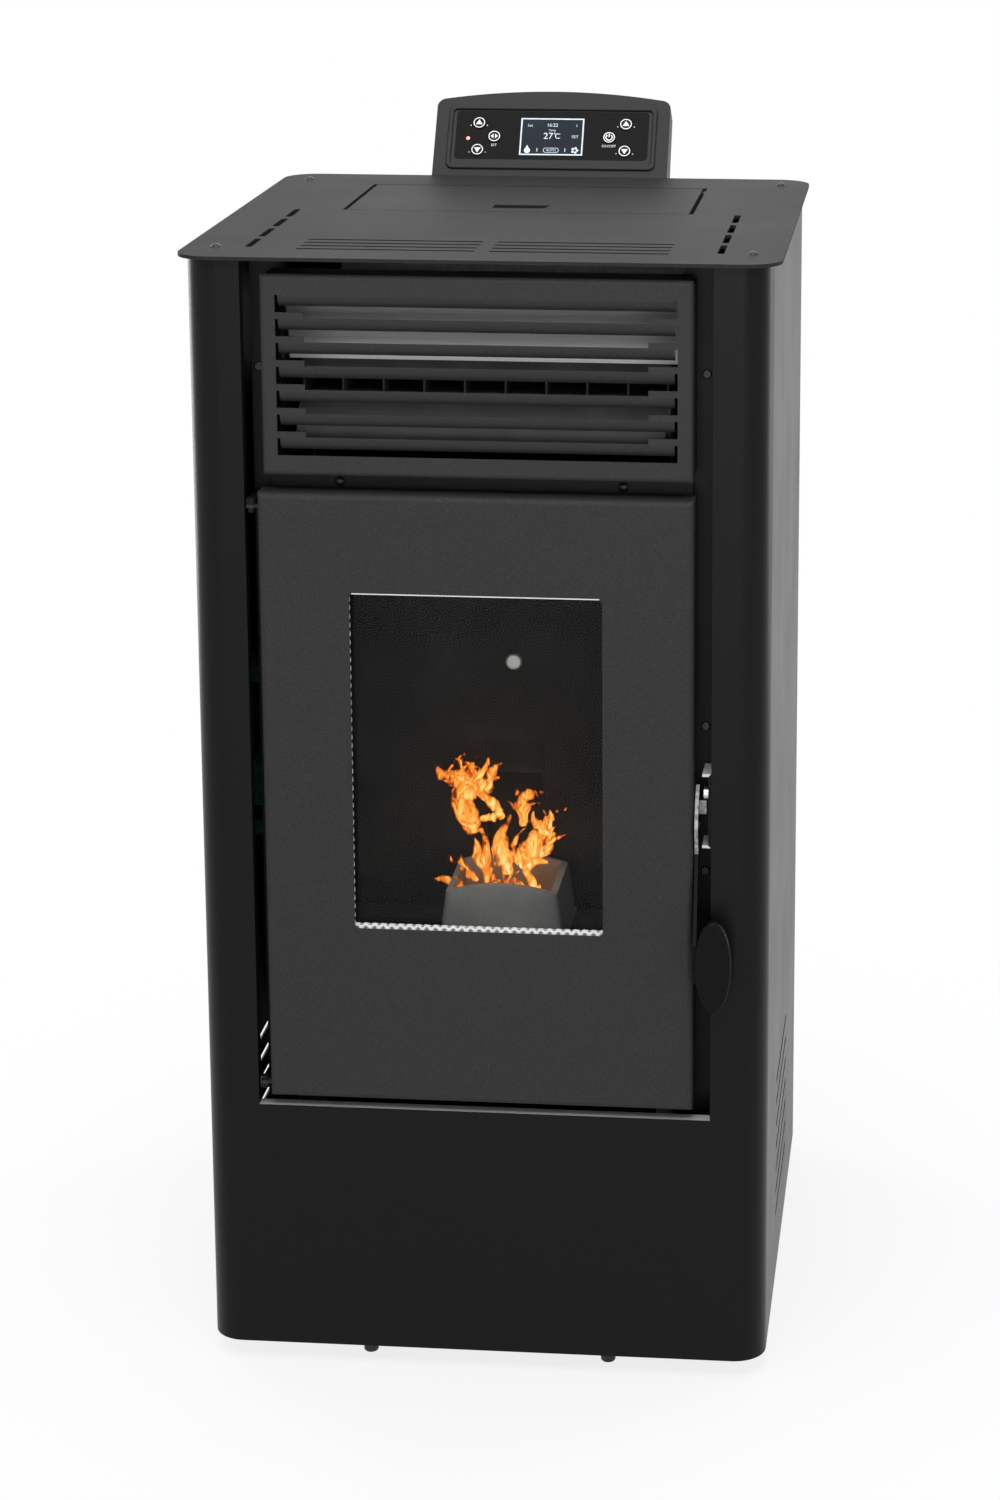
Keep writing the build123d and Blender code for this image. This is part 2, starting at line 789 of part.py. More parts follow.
def front_post(side):
    inner = post_inner_offset
    outer = post_outer_offset
    bottom = base_top
    top = shell_top
    face = block(sorted((side * inner, side * outer)), (post_face_y, post_face_y + post_sheet), (bottom, top))
    back_y = post_face_y + post_depth
    for edge in (inner, outer - post_sheet):
        face += block(sorted((side * edge, side * (edge + post_sheet))), (post_face_y, back_y), (bottom, top))
    lowest = shell_top - post_slot_drop - (post_slot_count - 1) * post_slot_pitch
    slots = slot_row(post_slot_length, post_slot_width, post_face_y + post_slot_setback, lowest,
                     post_slot_pitch, post_slot_count, upright_slots=True)
    face -= sideways(Sketch() + slots, sorted((side * (outer - 2 * post_sheet), side * (outer + 1))))
    for x, z in post_screw_places():
        if x * side > 0:
            face -= rod(pan_shank_radius + screw_gap, (x, post_face_y - 1, z), (x, post_face_y + 4, z))
    return face


def cross_rail():
    half = post_inner_offset + post_width / 3
    face_y = rail_face_y()
    back_y = post_face_y
    z_range = (rail_bottom, rail_bottom + rail_height)
    rail = block((-half, half), (face_y, face_y + rail_sheet), z_range)
    rail += block((-half, half), (face_y, back_y), (z_range[0], z_range[0] + rail_sheet))
    rail += block((-half, half), (face_y, back_y), (z_range[1] - rail_sheet, z_range[1]))
    for side in (-1, 1):
        x = side * rail_bolt_offset
        z = rail_bottom + rail_height / 2
        rail -= rod(dome_shank_radius + screw_gap, (x, face_y - 1, z), (x, face_y + 3, z))
    return rail


def casing_screws():
    screws = [pan_screw(x, post_face_y, z, (0, 1, 0)) for x, z in post_screw_places()]
    screws += [pan_screw(x, rear_face_y, z, (0, -1, 0)) for x, z in rear_screw_places()]
    return screws


# ---------------------------------------------------------------- air outlet
def louvre_profile(root_z):
    """One blade in section: it leaves the front face and rolls inward and down."""
    root = (front_y + grille_sheet / 2, root_z)
    centre = (root[0] + louvre_radius, root_z)
    tip_angle = math.radians(180 + louvre_angle)
    half_angle = math.radians(180 + louvre_angle / 2)
    inner = louvre_radius - grille_sheet / 2
    outer = louvre_radius + grille_sheet / 2

    def at(radius, angle):
        return (centre[0] + radius * math.cos(angle), centre[1] + radius * math.sin(angle))

    return make_face([
        Line(at(inner, math.pi), at(outer, math.pi)),
        ThreePointArc(at(outer, math.pi), at(outer, half_angle), at(outer, tip_angle)),
        Line(at(outer, tip_angle), at(inner, tip_angle)),
        ThreePointArc(at(inner, tip_angle), at(inner, half_angle), at(inner, math.pi)),
    ])


def air_outlet_grille():
    centre_z = (grille_top + grille_bottom) / 2
    centre_y = front_y + grille_depth / 2
    frame = Pos(0, centre_y, centre_z) * Box(grille_width, grille_depth, grille_height)
    frame = fillet(frame.faces().sort_by(Axis.Y)[0].edges(), grille_roll_radius)
    hollow_width = grille_width - 2 * grille_sheet
    hollow_height = grille_height - 2 * grille_sheet
    hollow = Pos(0, centre_y + grille_sheet, centre_z) * Box(hollow_width, grille_depth, hollow_height)
    hollow = fillet(hollow.faces().sort_by(Axis.Y)[0].edges(), grille_roll_radius - grille_sheet)
    frame -= hollow
    for x in (-grille_width / 2, grille_width / 2):
        for z in (grille_bottom, grille_top):
            frame -= Pos(x, centre_y + grille_roll_radius, z) * Box(2 * grille_notch, grille_depth, 2 * grille_notch)
    window_bottom = window_top - window_height
    half = window_width / 2
    frame -= block((-half, half), (front_y - 1, front_y + 2 * grille_sheet), (window_bottom, window_top))
    tab_height = louvre_pitch - louvre_slot_height
    blade_half = half - louvre_end_gap
    for row in range(louvre_count):
        root_z = window_top - row * louvre_pitch + grille_sheet / 2
        frame += sideways(louvre_profile(root_z), (-blade_half, blade_half))
        if row == 0:
            frame += block((-blade_half, blade_half), (front_y, front_y + grille_sheet), (window_top - 1, window_top + 1))
            continue
        tab_z = (root_z - grille_sheet / 2, root_z - grille_sheet / 2 + tab_height)
        for side in (-1, 1):
            tab = sorted((side * half, side * (half - louvre_tab_length)))
            frame += block(tab, (front_y, front_y + grille_sheet), tab_z)
    return frame


def air_duct():
    half = duct_width / 2
    front = front_y + duct_outlet_setback
    back = front + duct_length
    bottom = duct_top - duct_outlet_height
    duct = block((-half, half), (front, back), (bottom, duct_top))
    duct -= block((-half + duct_sheet, half - duct_sheet), (front - 1, back + 1),
                  (bottom + duct_sheet, duct_top - duct_sheet))
    duct += block((-half, half), (front, front + duct_sheet), (duct_top - duct_sheet, duct_top + duct_lip_height))
    first = -duct_divider_pitch * (duct_divider_count - 1) / 2
    for step in range(duct_divider_count):
        x = first + step * duct_divider_pitch
        duct += block((x - duct_sheet / 2, x + duct_sheet / 2), (front, front + duct_divider_depth),
                      (bottom + duct_sheet / 2, duct_top - duct_sheet / 2))
    side_bottom = firebox_top
    for side in (-1, 1):
        wall = sorted((side * half, side * (half - duct_sheet)))
        duct += block(wall, (front + duct_divider_depth, back), (side_bottom, bottom + duct_sheet))
    chin_centre = Pos(front, bottom + duct_sheet - duct_chin_radius)
    chin = chin_centre * (Circle(duct_chin_radius) - Circle(duct_chin_radius - duct_sheet))
    chin &= Pos(front - duct_chin_radius / 2, bottom + duct_sheet - duct_chin_radius / 2) * Rectangle(
        duct_chin_radius, duct_chin_radius)
    return duct + sideways(chin, (-half, half))


def upper_deflector():
    """A bare curved sheet that throws the warm air forward, standing on the duct's lip."""
    start_y = front_y + duct_outlet_setback
    start_z = duct_top + duct_lip_height
    centre = (start_y - deflector_radius, start_z)

    def at(radius, angle):
        return (centre[0] + radius * math.cos(math.radians(angle)), centre[1] + radius * math.sin(math.radians(angle)))

    inner = deflector_radius
    outer = deflector_radius + deflector_sheet
    sheet = make_face([
        Line(at(inner, 0), at(outer, 0)),
        ThreePointArc(at(outer, 0), at(outer, deflector_angle / 2), at(outer, deflector_angle)),
        Line(at(outer, deflector_angle), at(inner, deflector_angle)),
        ThreePointArc(at(inner, deflector_angle), at(inner, deflector_angle / 2), at(inner, 0)),
    ])
    return sideways(sheet, (-deflector_width / 2, deflector_width / 2))


# ---------------------------------------------------------------- door
def ring(width, height, thickness, radius, x, z):
    """A rectangular ring with round corners, given by its outside size and its width."""
    inner_radius = max(radius - thickness, 0.5)
    outer = rounded(width, height, radius, x, z)
    return outer - rounded(width - 2 * thickness, height - 2 * thickness, inner_radius, x, z)


def door_frame():
    pan = block((door_left, door_right), (door_front_y, door_back_y), (door_bottom, door_top))
    pan = fillet(pan.faces().sort_by(Axis.Y)[0].edges(), door_edge_radius)
    inner = block((door_left + door_sheet, door_right - door_sheet), (door_front_y + door_sheet, door_back_y + 1),
                  (door_bottom + door_sheet, door_top - door_sheet))
    pan -= fillet(inner.faces().sort_by(Axis.Y)[0].edges(), door_edge_radius - door_sheet)
    window = rounded(glass_window_width, glass_window_height, glass_window_corner, door_middle_x, glass_centre_z)
    pan -= upright(window, (door_front_y - 1, door_front_y + 2 * door_sheet))
    channel_y = (door_front_y + door_sheet, firebox_front_y - seat_gap - seal_thickness / 3)
    outer_wall = ring(seal_outer_width + 2 * channel_sheet, seal_outer_height + 2 * channel_sheet, channel_sheet,
                      seal_corner_radius + channel_sheet, seal_centre_x, seal_centre_z)
    inner_wall = ring(seal_outer_width - 2 * seal_width, seal_outer_height - 2 * seal_width, channel_sheet,
                      seal_corner_radius - channel_sheet, seal_centre_x, seal_centre_z)
    web = ring(seal_outer_width + channel_sheet, seal_outer_height + channel_sheet, seal_width + 1.5 * channel_sheet,
               seal_corner_radius, seal_centre_x, seal_centre_z)
    pan += upright(outer_wall, channel_y) + upright(inner_wall, channel_y)
    pan += upright(web, (seal_web_y - channel_sheet, seal_web_y))
    pivot = (lever_pivot_y, lever_pivot_z)
    pan += rod(lever_pivot_radius, (door_right - door_sheet / 2, *pivot), (lever_outer + 1, *pivot))
    for z in (hinge_top_z(), hinge_bottom_z()):
        tab_y = (hinge_y - hinge_tab_width / 2, hinge_y + hinge_tab_width / 2)
        tab = block((hinge_x, door_left + door_sheet / 2), tab_y, (z, z + hinge_tab_sheet))
        tab += rod(hinge_lug_radius, (hinge_x, hinge_y, z), (hinge_x, hinge_y, z + hinge_tab_sheet))
        tab -= rod(hinge_pin_radius + running_gap, (hinge_x, hinge_y, z - 1),
                   (hinge_x, hinge_y, z + hinge_tab_sheet + 1))
        pan += tab
    return pan


def hinge_top_z():
    """Underside of the door's upper hinge tab."""
    return door_top - hinge_top_drop - hinge_tab_sheet


def hinge_bottom_z():
    """Underside of the door's lower hinge tab."""
    return door_bottom + hinge_top_drop


def hinge_bracket(lug_z, plate_bottom, pin_range):
    """A bracket on the left post: a plate on the post's face, a lug reaching forward, and its pin."""
    plate = block((hinge_x - hinge_lug_radius / 2, hinge_x - hinge_lug_radius / 2 + hinge_plate_width),
                  (post_face_y - hinge_plate_sheet, post_face_y),
                  (plate_bottom, plate_bottom + hinge_plate_height))
    lug = block((hinge_x - hinge_lug_radius, hinge_x + hinge_lug_radius), (hinge_y, post_face_y - 1),
                (lug_z, lug_z + hinge_lug_sheet))
    lug += rod(hinge_lug_radius, (hinge_x, hinge_y, lug_z), (hinge_x, hinge_y, lug_z + hinge_lug_sheet))
    pin = rod(hinge_pin_radius, (hinge_x, hinge_y, pin_range[0]), (hinge_x, hinge_y, pin_range[1]))
    return plate + lug + pin


def hinge_bracket_top():
    tab_top = hinge_top_z() + hinge_tab_sheet
    lug_z = tab_top + seat_gap
    pin_range = (hinge_top_z() - hinge_pin_tail, lug_z + hinge_lug_sheet + hinge_washer_sheet)
    bracket = hinge_bracket(lug_z, lug_z + hinge_lug_sheet - hinge_plate_height, pin_range)
    washer_z = tab_top + seat_gap + hinge_lug_sheet
    return bracket + rod(hinge_washer_radius, (hinge_x, hinge_y, washer_z),
                         (hinge_x, hinge_y, washer_z + hinge_washer_sheet))


def hinge_bracket_bottom():
    lug_z = hinge_bottom_z() - seat_gap - hinge_lug_sheet
    pin_range = (lug_z, hinge_bottom_z() + hinge_tab_sheet + hinge_pin_tail)
    return hinge_bracket(lug_z, lug_z - hinge_plate_rise, pin_range)


def door_glass():
    width = glass_window_width + 2 * glass_overlap
    height = glass_window_height + 2 * glass_overlap
    return upright(rounded(width, height, glass_corner_radius, door_middle_x, glass_centre_z),
                   (gasket_back_y, glass_back_y))


def glass_gasket():
    loop = ring(glass_window_width + 2 * gasket_width, glass_window_height + 2 * gasket_width, gasket_width,
                glass_window_corner + gasket_width, door_middle_x, glass_centre_z)
    return upright(loop, (door_front_y + door_sheet, gasket_back_y))


def glass_clips():
    """Four folded clips, each with a foot on the door sheet and an arm over the glass."""
    half_glass = glass_window_width / 2 + glass_overlap
    reach = glass_window_height / 3
    clips = []
    for side in (-1, 1):
        for z in (glass_centre_z - reach, glass_centre_z + reach):
            wall_x = door_middle_x + side * (half_glass + seat_gap)
            span = (z - clip_width / 2, z + clip_width / 2)
            wall = block(sorted((wall_x, wall_x + side * clip_sheet)), (door_front_y + door_sheet,
                                                                      glass_back_y + clip_sheet), span)
            arm = block(sorted((wall_x + side * clip_sheet, wall_x - side * clip_grip)),
                        (glass_back_y, glass_back_y + clip_sheet), span)
            foot_end = wall_x + side * clip_foot_length
            foot = block(sorted((wall_x, foot_end)), (door_front_y + door_sheet,
                                                     door_front_y + door_sheet + clip_sheet), span)
            clips.append(wall + arm + foot)
    return clips


def door_rope_seal():
    loop = ring(seal_outer_width - seat_gap, seal_outer_height - seat_gap, seal_width - seat_gap,
                seal_corner_radius, seal_centre_x, seal_centre_z)
    rope = upright(loop, (seal_web_y, seal_web_y + seal_thickness))
    return chamfer(rope.faces().sort_by(Axis.Y)[-1].edges(), seal_width / 4)


# ---------------------------------------------------------------- handle and catch
def door_lever():
    """An edge-on plate: a round head on the pivot, a nose at the catch and a blade down to the knob."""
    pivot = (lever_pivot_y, lever_pivot_z)
    top_z = lever_pivot_z + lever_top_rise
    foot_z = lever_pivot_z - lever_foot_drop
    foot_back = knob_back_y + lever_sheet
    back_y = lever_pivot_y + lever_width / 2
    waist_z = lever_pivot_z - 2 * lever_head_radius
    tab_top = knob_z + knob_tab_height / 2
    tab_bottom = knob_z - knob_tab_height / 2
    brow = (lever_pivot_y - lever_width / 2, (top_z + lever_pivot_z) / 2)
    waist = (lever_pivot_y - lever_width / 2, waist_z)
    blade = make_face([
        ThreePointArc((back_y, top_z), brow, (lever_pivot_y - lever_head_radius, lever_pivot_z)),
        Line((lever_pivot_y - lever_head_radius, lever_pivot_z), waist),
        Line(waist, (knob_back_y, tab_top)),
        Line((knob_back_y, tab_top), (knob_back_y, tab_bottom)),
        Line((knob_back_y, tab_bottom), (knob_back_y + lever_foot_reach, tab_bottom)),
        Line((knob_back_y + lever_foot_reach, tab_bottom), (knob_back_y + lever_foot_reach, foot_z)),
        Line((knob_back_y + lever_foot_reach, foot_z), (back_y, waist_z)),
        Line((back_y, waist_z), (back_y, top_z)),
    ])
    profile = blade + Pos(*pivot) * Circle(lever_head_radius) - Pos(*pivot) * Circle(lever_pivot_radius + running_gap)
    lever = sideways(profile, (lever_inner, lever_outer))
    tongue_top = roller_z - roller_radius - seat_gap
    tongue_front = lever_pivot_y + lever_width / 2 - lever_tongue_thickness
    lever += block((lever_inner, lever_outer + lever_tongue_reach), (tongue_front, tongue_front + lever_tongue_thickness),
                   (tongue_top - lever_tongue_height, tongue_top))
    return lever + block((lever_inner, knob_x + knob_width / 4), (knob_back_y, foot_back), (tab_bottom, tab_top))


def door_knob():
    oval = upright(Pos(knob_x, knob_z) * Ellipse(knob_width / 2, knob_height / 2),
                   (knob_front_y, knob_back_y))
    return fillet(oval.faces().sort_by(Axis.Y)[0].edges(), knob_edge_radius)


def catch_bracket():
    """A folded channel on the right post, open to the left, with the pin that carries the roller."""
    depth = (post_face_y - catch_reach, post_face_y)
    z_range = (catch_bottom, catch_top)
    bracket = block((catch_outer_x - catch_sheet, catch_outer_x), depth, z_range)
    flange_x = (catch_inner_x, catch_outer_x)
    bracket += block(flange_x, depth, (z_range[0], z_range[0] + catch_sheet))
    bracket += block(flange_x, depth, (z_range[1] - catch_sheet, z_range[1]))
    bracket += block(flange_x, (post_face_y - catch_sheet, post_face_y), z_range)
    return bracket + rod(roller_pin_radius, (catch_inner_x + roller_side_gap / 2, roller_y, roller_z),
                         (catch_outer_x - catch_sheet / 2, roller_y, roller_z))


def catch_roller():
    left = catch_inner_x + roller_side_gap
    ends = ((left, roller_y, roller_z), (left + roller_width, roller_y, roller_z))
    return tube(roller_radius, roller_radius - roller_pin_radius - running_gap, *ends)


# ---------------------------------------------------------------- firebox
def firebox():
    half = firebox_width / 2
    wall = firebox_plate
    box = block((-half, half), (firebox_front_y, firebox_back_y), (firebox_bottom, firebox_top))
    box -= block((-half + wall, half - wall), (firebox_front_y + wall, firebox_back_y - wall),
                 (firebox_floor, firebox_top - wall))
    mouth_x = (seal_centre_x - mouth_width / 2, seal_centre_x + mouth_width / 2)
    mouth_z = (mouth_bottom, mouth_bottom + mouth_height)
    box -= block(mouth_x, (firebox_front_y - 1, firebox_front_y + 2 * wall), mouth_z)
    box -= chute_hole()
    port_z = (firebox_floor + manifold_rise + manifold_sheet, firebox_floor + manifold_height - manifold_sheet)
    port_x = (manifold_left_offset + manifold_sheet, manifold_left_offset + manifold_width - manifold_sheet)
    box -= block(port_x, (firebox_back_y - 2 * wall, firebox_back_y + 1), port_z)
    box -= rod(inlet_radius - inlet_wall, (inlet_offset, firebox_back_y - 2 * wall, inlet_z),
               (inlet_offset, firebox_back_y + 1, inlet_z))
    box -= rod(igniter_socket_radius + sheet_gap, (0, firebox_back_y - 2 * wall, igniter_z),
               (0, firebox_back_y + 1, igniter_z))
    for side in (-1, 1):
        runner = sorted((seal_centre_x + side * drawer_width / 2,
                         seal_centre_x + side * (drawer_width / 2 - drawer_runner_width)))
        box += block(runner, (firebox_front_y + wall, firebox_back_y - wall), (firebox_floor, drawer_bottom - seat_gap))
    return box


def chute_hole():
    """The passage for the pellet chute through the firebox's back wall and the fireback plate."""
    half = chute_width / 2 + chute_wall + sheet_gap
    slope = chute_slope()
    drop = chute_wall * math.hypot(1, slope) + sheet_gap
    top = chute_mouth_top + slope * (firebox_back_y - fireback_y) + drop
    return block((-half, half), (fireback_y - 1, firebox_back_y + 1), (chute_mouth_bottom - drop, top))


def fireback_plate():
    half = firebox_width / 2 - fireback_side_gap
    y_range = (fireback_y, fireback_y + fireback_thickness)
    plate = block((-half, half), y_range, (holder_top, firebox_top - fireback_top_gap))
    plate -= chute_hole()
    plate -= rod(igniter_socket_radius + sheet_gap, (0, fireback_y - 1, igniter_z),
                 (0, firebox_back_y, igniter_z))
    bolt_z = holder_top + fireback_bolt_rise
    bolt = rod(fireback_bolt_radius, (0, fireback_y - fireback_bolt_head, bolt_z), (0, fireback_y + 1, bolt_z))
    return plate + fillet(bolt.edges().filter_by(GeomType.CIRCLE).sort_by(Axis.Y)[0], fireback_bolt_head / 2)


def firebox_stand():
    """A folded frame that carries the firebox above the base plate."""
    half = firebox_width / 2 - stand_side_setback
    y_range = (firebox_front_y + stand_end_setback, firebox_back_y - stand_end_setback)
    depth = y_range[1] - y_range[0]
    plan = Pos(0, sum(y_range) / 2) * (Rectangle(2 * half, depth) - Pos(0, stand_sheet) * Rectangle(
        2 * (half - stand_sheet), depth))
    stand = level(plan, (base_top, firebox_bottom))
    for side in (-1, 1):
        inner = sorted((side * half, side * (half - base_rim)))
        for z in (base_top, firebox_bottom - stand_sheet):
            stand += block(inner, y_range, (z, z + stand_sheet))
    return stand


def burn_pot_holder():
    half = firebox_width / 2 - firebox_plate - seat_gap
    y_range = (firebox_front_y + firebox_plate + seat_gap, firebox_back_y - firebox_plate - seat_gap)
    plate = block((-half, half), y_range, (holder_bottom, holder_top))
    hole = pot_width / 2 + pot_gap
    plate -= block((-hole, hole), (pot_front_y - pot_gap, pot_rear_y + pot_gap), (holder_bottom - 1, holder_top + 1))
    for side in (-1, 1):
        leg = sorted((side * half, side * (half - holder_plate)))
        plate += block(leg, y_range, (firebox_floor, holder_top))
    return plate


def burn_pot():
    """A cast pot: a skirt through the holder, a flange on it and tapered walls with an arched front."""
    half = pot_width / 2
    bottom = holder_bottom - pot_skirt
    skirt = block((-half, half), (pot_front_y, pot_rear_y), (bottom, holder_top + 1))
    flange = block((-half - pot_flange, half + pot_flange), (pot_front_y - pot_flange, pot_rear_y + pot_flange),
                   (holder_top, holder_top + pot_flange_thickness))
    base_z = holder_top + pot_flange_thickness / 2
    side_z = holder_top + pot_front_height
    front = make_face([
        Line((-half - pot_flange, base_z), (half + pot_flange, base_z)),
        Line((half + pot_flange, base_z), (pot_top_width / 2, side_z - pot_arch)),
        ThreePointArc((pot_top_width / 2, side_z - pot_arch), (0, side_z), (-pot_top_width / 2, side_z - pot_arch)),
        Line((-pot_top_width / 2, side_z - pot_arch), (-half - pot_flange, base_z)),
    ])
    body = upright(front, (pot_front_y - pot_wall, pot_rear_y))
    corners = body.faces().sort_by(Axis.Y)[0].edges().filter_by(GeomType.LINE).sort_by(Axis.Z)[-2:]
    pot = skirt + flange + fillet(corners, pot_corner_radius)
    inner_half = half - pot_wall
    pot -= block((-inner_half, inner_half), (pot_front_y + pot_wall, pot_rear_y - pot_wall),
                 (bottom + pot_wall, side_z + pot_rear_height))
    rear_z = (holder_top + pot_flange_thickness / 2, holder_top + pot_rear_height)
    pot += block((-half, half), (pot_rear_y - pot_wall, pot_rear_y), rear_z)
    pot -= rod(igniter_socket_radius, (0, pot_rear_y - 2 * pot_wall, igniter_z),
               (0, pot_rear_y + pot_flange + 1, igniter_z))
    first = -pot_hole_pitch * (pot_hole_rows - 1) / 2
    for column in range(pot_hole_rows):
        for row in range(pot_hole_rows):
            x = first + column * pot_hole_pitch
            y = (pot_front_y + pot_rear_y) / 2 + first + row * pot_hole_pitch
            pot -= rod(pot_hole_radius, (x, y, bottom - 1), (x, y, bottom + pot_wall + 1))
    return pot


def ash_drawer():
    half = drawer_width / 2
    front = firebox_front_y + drawer_setback
    bottom = drawer_bottom
    left, right = (seal_centre_x - half, seal_centre_x + half)
    pan = block((left, right), (front, front + drawer_depth), (bottom, bottom + drawer_height))
    pan -= block((left + drawer_wall, right - drawer_wall), (front + drawer_wall, front + drawer_depth - drawer_wall),
                 (bottom + drawer_wall, bottom + drawer_height + 1))
    pull_top = bottom + drawer_height
    pull_x = (seal_centre_x - drawer_pull_length / 2, seal_centre_x + drawer_pull_length / 2)
    pull = block(pull_x, (front - drawer_pull_height, front + drawer_wall), (pull_top - drawer_wall, pull_top))
    pull += block(pull_x, (front - drawer_pull_height, front - drawer_pull_height + drawer_wall),
                  (pull_top - drawer_pull_height, pull_top))
    return pan + pull


def igniter():
    """A cartridge heater in its socket, aimed at the hole in the pot's rear wall."""
    tip = pot_rear_y + pot_flange + pot_gap
    socket = rod(igniter_socket_radius, (0, tip + igniter_socket_gap, igniter_z),
                 (0, firebox_back_y + igniter_socket_tail, igniter_z))
    heater = rod(igniter_radius, (0, tip, igniter_z), (0, firebox_back_y + igniter_tail, igniter_z))
    collar = rod(igniter_socket_radius + igniter_collar_width, (0, firebox_back_y, igniter_z),
                 (0, firebox_back_y + igniter_collar_thickness, igniter_z))
    return socket + heater + collar


# ---------------------------------------------------------------- pellet feed
def hopper():
    half_x = lid_opening_width / 2
    top = shell_top
    shoulder = throat_z + hopper_taper_height
    mid_y = (lid_open_front_y + lid_open_rear_y) / 2
    throat_y = auger_point(auger_inlet_centre)[0] + auger_tube_radius * math.sin(math.radians(auger_angle))

    def body(grow, low, high):
        wide = Pos(0, mid_y, shoulder) * Rectangle(lid_opening_width + 2 * grow, lid_opening_depth + 2 * grow)
        narrow = Pos(0, throat_y, throat_z) * Rectangle(throat_width + 2 * grow, throat_depth + 2 * grow)
        upper = level(Pos(0, mid_y) * Rectangle(lid_opening_width + 2 * grow, lid_opening_depth + 2 * grow),
                      (shoulder, high))
        lower = level(Pos(0, throat_y) * Rectangle(throat_width + 2 * grow, throat_depth + 2 * grow), (low, throat_z))
        return upper + loft([narrow, wide]) + lower

    tube_z = auger_point(auger_inlet_centre)[1]
    shell = body(hopper_sheet, tube_z, top) - body(0, tube_z - 1, top + 1)
    flange = level(Pos(0, mid_y) * (
        Rectangle(lid_opening_width + 2 * hopper_flange, lid_opening_depth + 2 * hopper_flange)
        - Rectangle(lid_opening_width, lid_opening_depth)), (top - hopper_sheet, top))
    ledge = block((-half_x, half_x), (lid_open_front_y, lid_open_front_y + lid_ledge), (top - hopper_sheet, top))
    shell += flange + ledge
    shell -= auger_tube_space()
    axis = (lid_axis_y, lid_axis_z)
    shell -= rod(lid_pin_radius + running_gap, (-half_x - 4, *axis), (half_x + 4, *axis))
    return shell


def hopper_lid():
    """A folded lid that drops into the top plate, turning on two stub pins near its rear edge."""
    half = lid_opening_width / 2 - lid_side_gap
    front = lid_open_front_y + lid_front_gap
    back = lid_open_rear_y - lid_rear_gap
    lid = block((-half, half), (front, back), (plate_top - lid_sheet, plate_top))
    slot_front = front + finger_slot_setback
    slot = make_face(Polyline(
        (-finger_slot_length / 2, slot_front),
        (finger_slot_length / 2 - finger_slot_taper, slot_front),
        (finger_slot_length / 2, slot_front + finger_slot_width),
        (-finger_slot_length / 2, slot_front + finger_slot_width),
        close=True,
    ))
    lid -= level(slot, (plate_top - 2 * lid_sheet, plate_top + 1))
    flange_front = lid_open_front_y + lid_ledge + lid_flange_setback
    flange_back = back - lid_flange_setback
    for side in (-1, 1):
        wall = sorted((side * half, side * (half - lid_flange_sheet)))
        lid += block(wall, (flange_front, flange_back), (plate_top - lid_flange, plate_top - lid_sheet / 2))
        pin_start = side * (half - lid_flange_sheet)
        pin_end = side * (lid_opening_width / 2 + hopper_sheet)
        lid += rod(lid_pin_radius, (pin_start, lid_axis_y, lid_axis_z), (pin_end, lid_axis_y, lid_axis_z))
    return lid


def auger_point(distance):
    """Y and Z on the auger's axis, measured up from its lower end."""
    turn = math.radians(auger_angle)
    return (auger_start_y - distance * math.cos(turn), auger_start_z + distance * math.sin(turn))


def auger_plane(distance):
    """A plane square to the auger's axis: its X is the stove's X and its Y points up and back."""
    turn = math.radians(auger_angle)
    y, z = auger_point(distance)
    return Plane(origin=(0, y, z), x_dir=(1, 0, 0), z_dir=(0, -math.cos(turn), math.sin(turn)))


def auger_solid(radius, start, end):
    """A round bar on the auger's axis."""
    return auger_plane(start) * Pos(0, 0, (end - start) / 2) * Cylinder(radius, end - start)


def auger_tube_space():
    """What the auger tube takes up in the sheets round it, run on past both of its ends."""
    return auger_solid(auger_tube_radius + weld_gap, -cut_margin, auger_length + cut_margin)


def auger_tube():
    pipe = auger_solid(auger_tube_radius, 0, auger_length) - auger_solid(
        auger_tube_radius - auger_tube_wall, -1, auger_length + 1)
    for plate_start in (0, auger_length - auger_end_plate):
        plate = auger_solid(auger_tube_radius - auger_tube_wall / 2, plate_start, plate_start + auger_end_plate)
        pipe += plate - auger_solid(auger_shaft_radius + running_gap, plate_start - 1, plate_start + auger_end_plate + 1)
    throat_y = auger_point(auger_inlet_centre)[0] + auger_tube_radius * math.sin(math.radians(auger_angle))
    inlet_z = auger_point(auger_inlet_centre)[1]
    pipe -= block((-throat_width / 2, throat_width / 2), (throat_y - throat_depth / 2, throat_y + throat_depth / 2),
                  (inlet_z, inlet_z + 3 * auger_tube_radius))
    outlet = auger_plane(auger_outlet_centre) * Pos(0, -auger_tube_radius, 0) * Box(
        chute_width - 2 * auger_outlet_margin, auger_tube_radius, auger_outlet_length)
    return pipe - outlet


def auger_screw():
    """A shaft with one helical flight, carried by the tube's end plates."""
    shaft = auger_solid(auger_shaft_radius, -gearbox_length / 2, auger_length + 2)
    middle_radius = (auger_shaft_radius + auger_flight_radius) / 2 - 0.5
    height = auger_pitch * auger_turns
    path = Helix(pitch=auger_pitch, height=height, radius=middle_radius)
    section_plane = Plane(origin=path @ 0, x_dir=(1, 0, 0), z_dir=path % 0)
    section = section_plane * Rectangle(auger_flight_radius - auger_shaft_radius + 1, auger_flight_thickness)
    flight = sweep(section, path=path, is_frenet=True)
    start = (auger_length - height) / 2
    return shaft + auger_plane(start) * flight


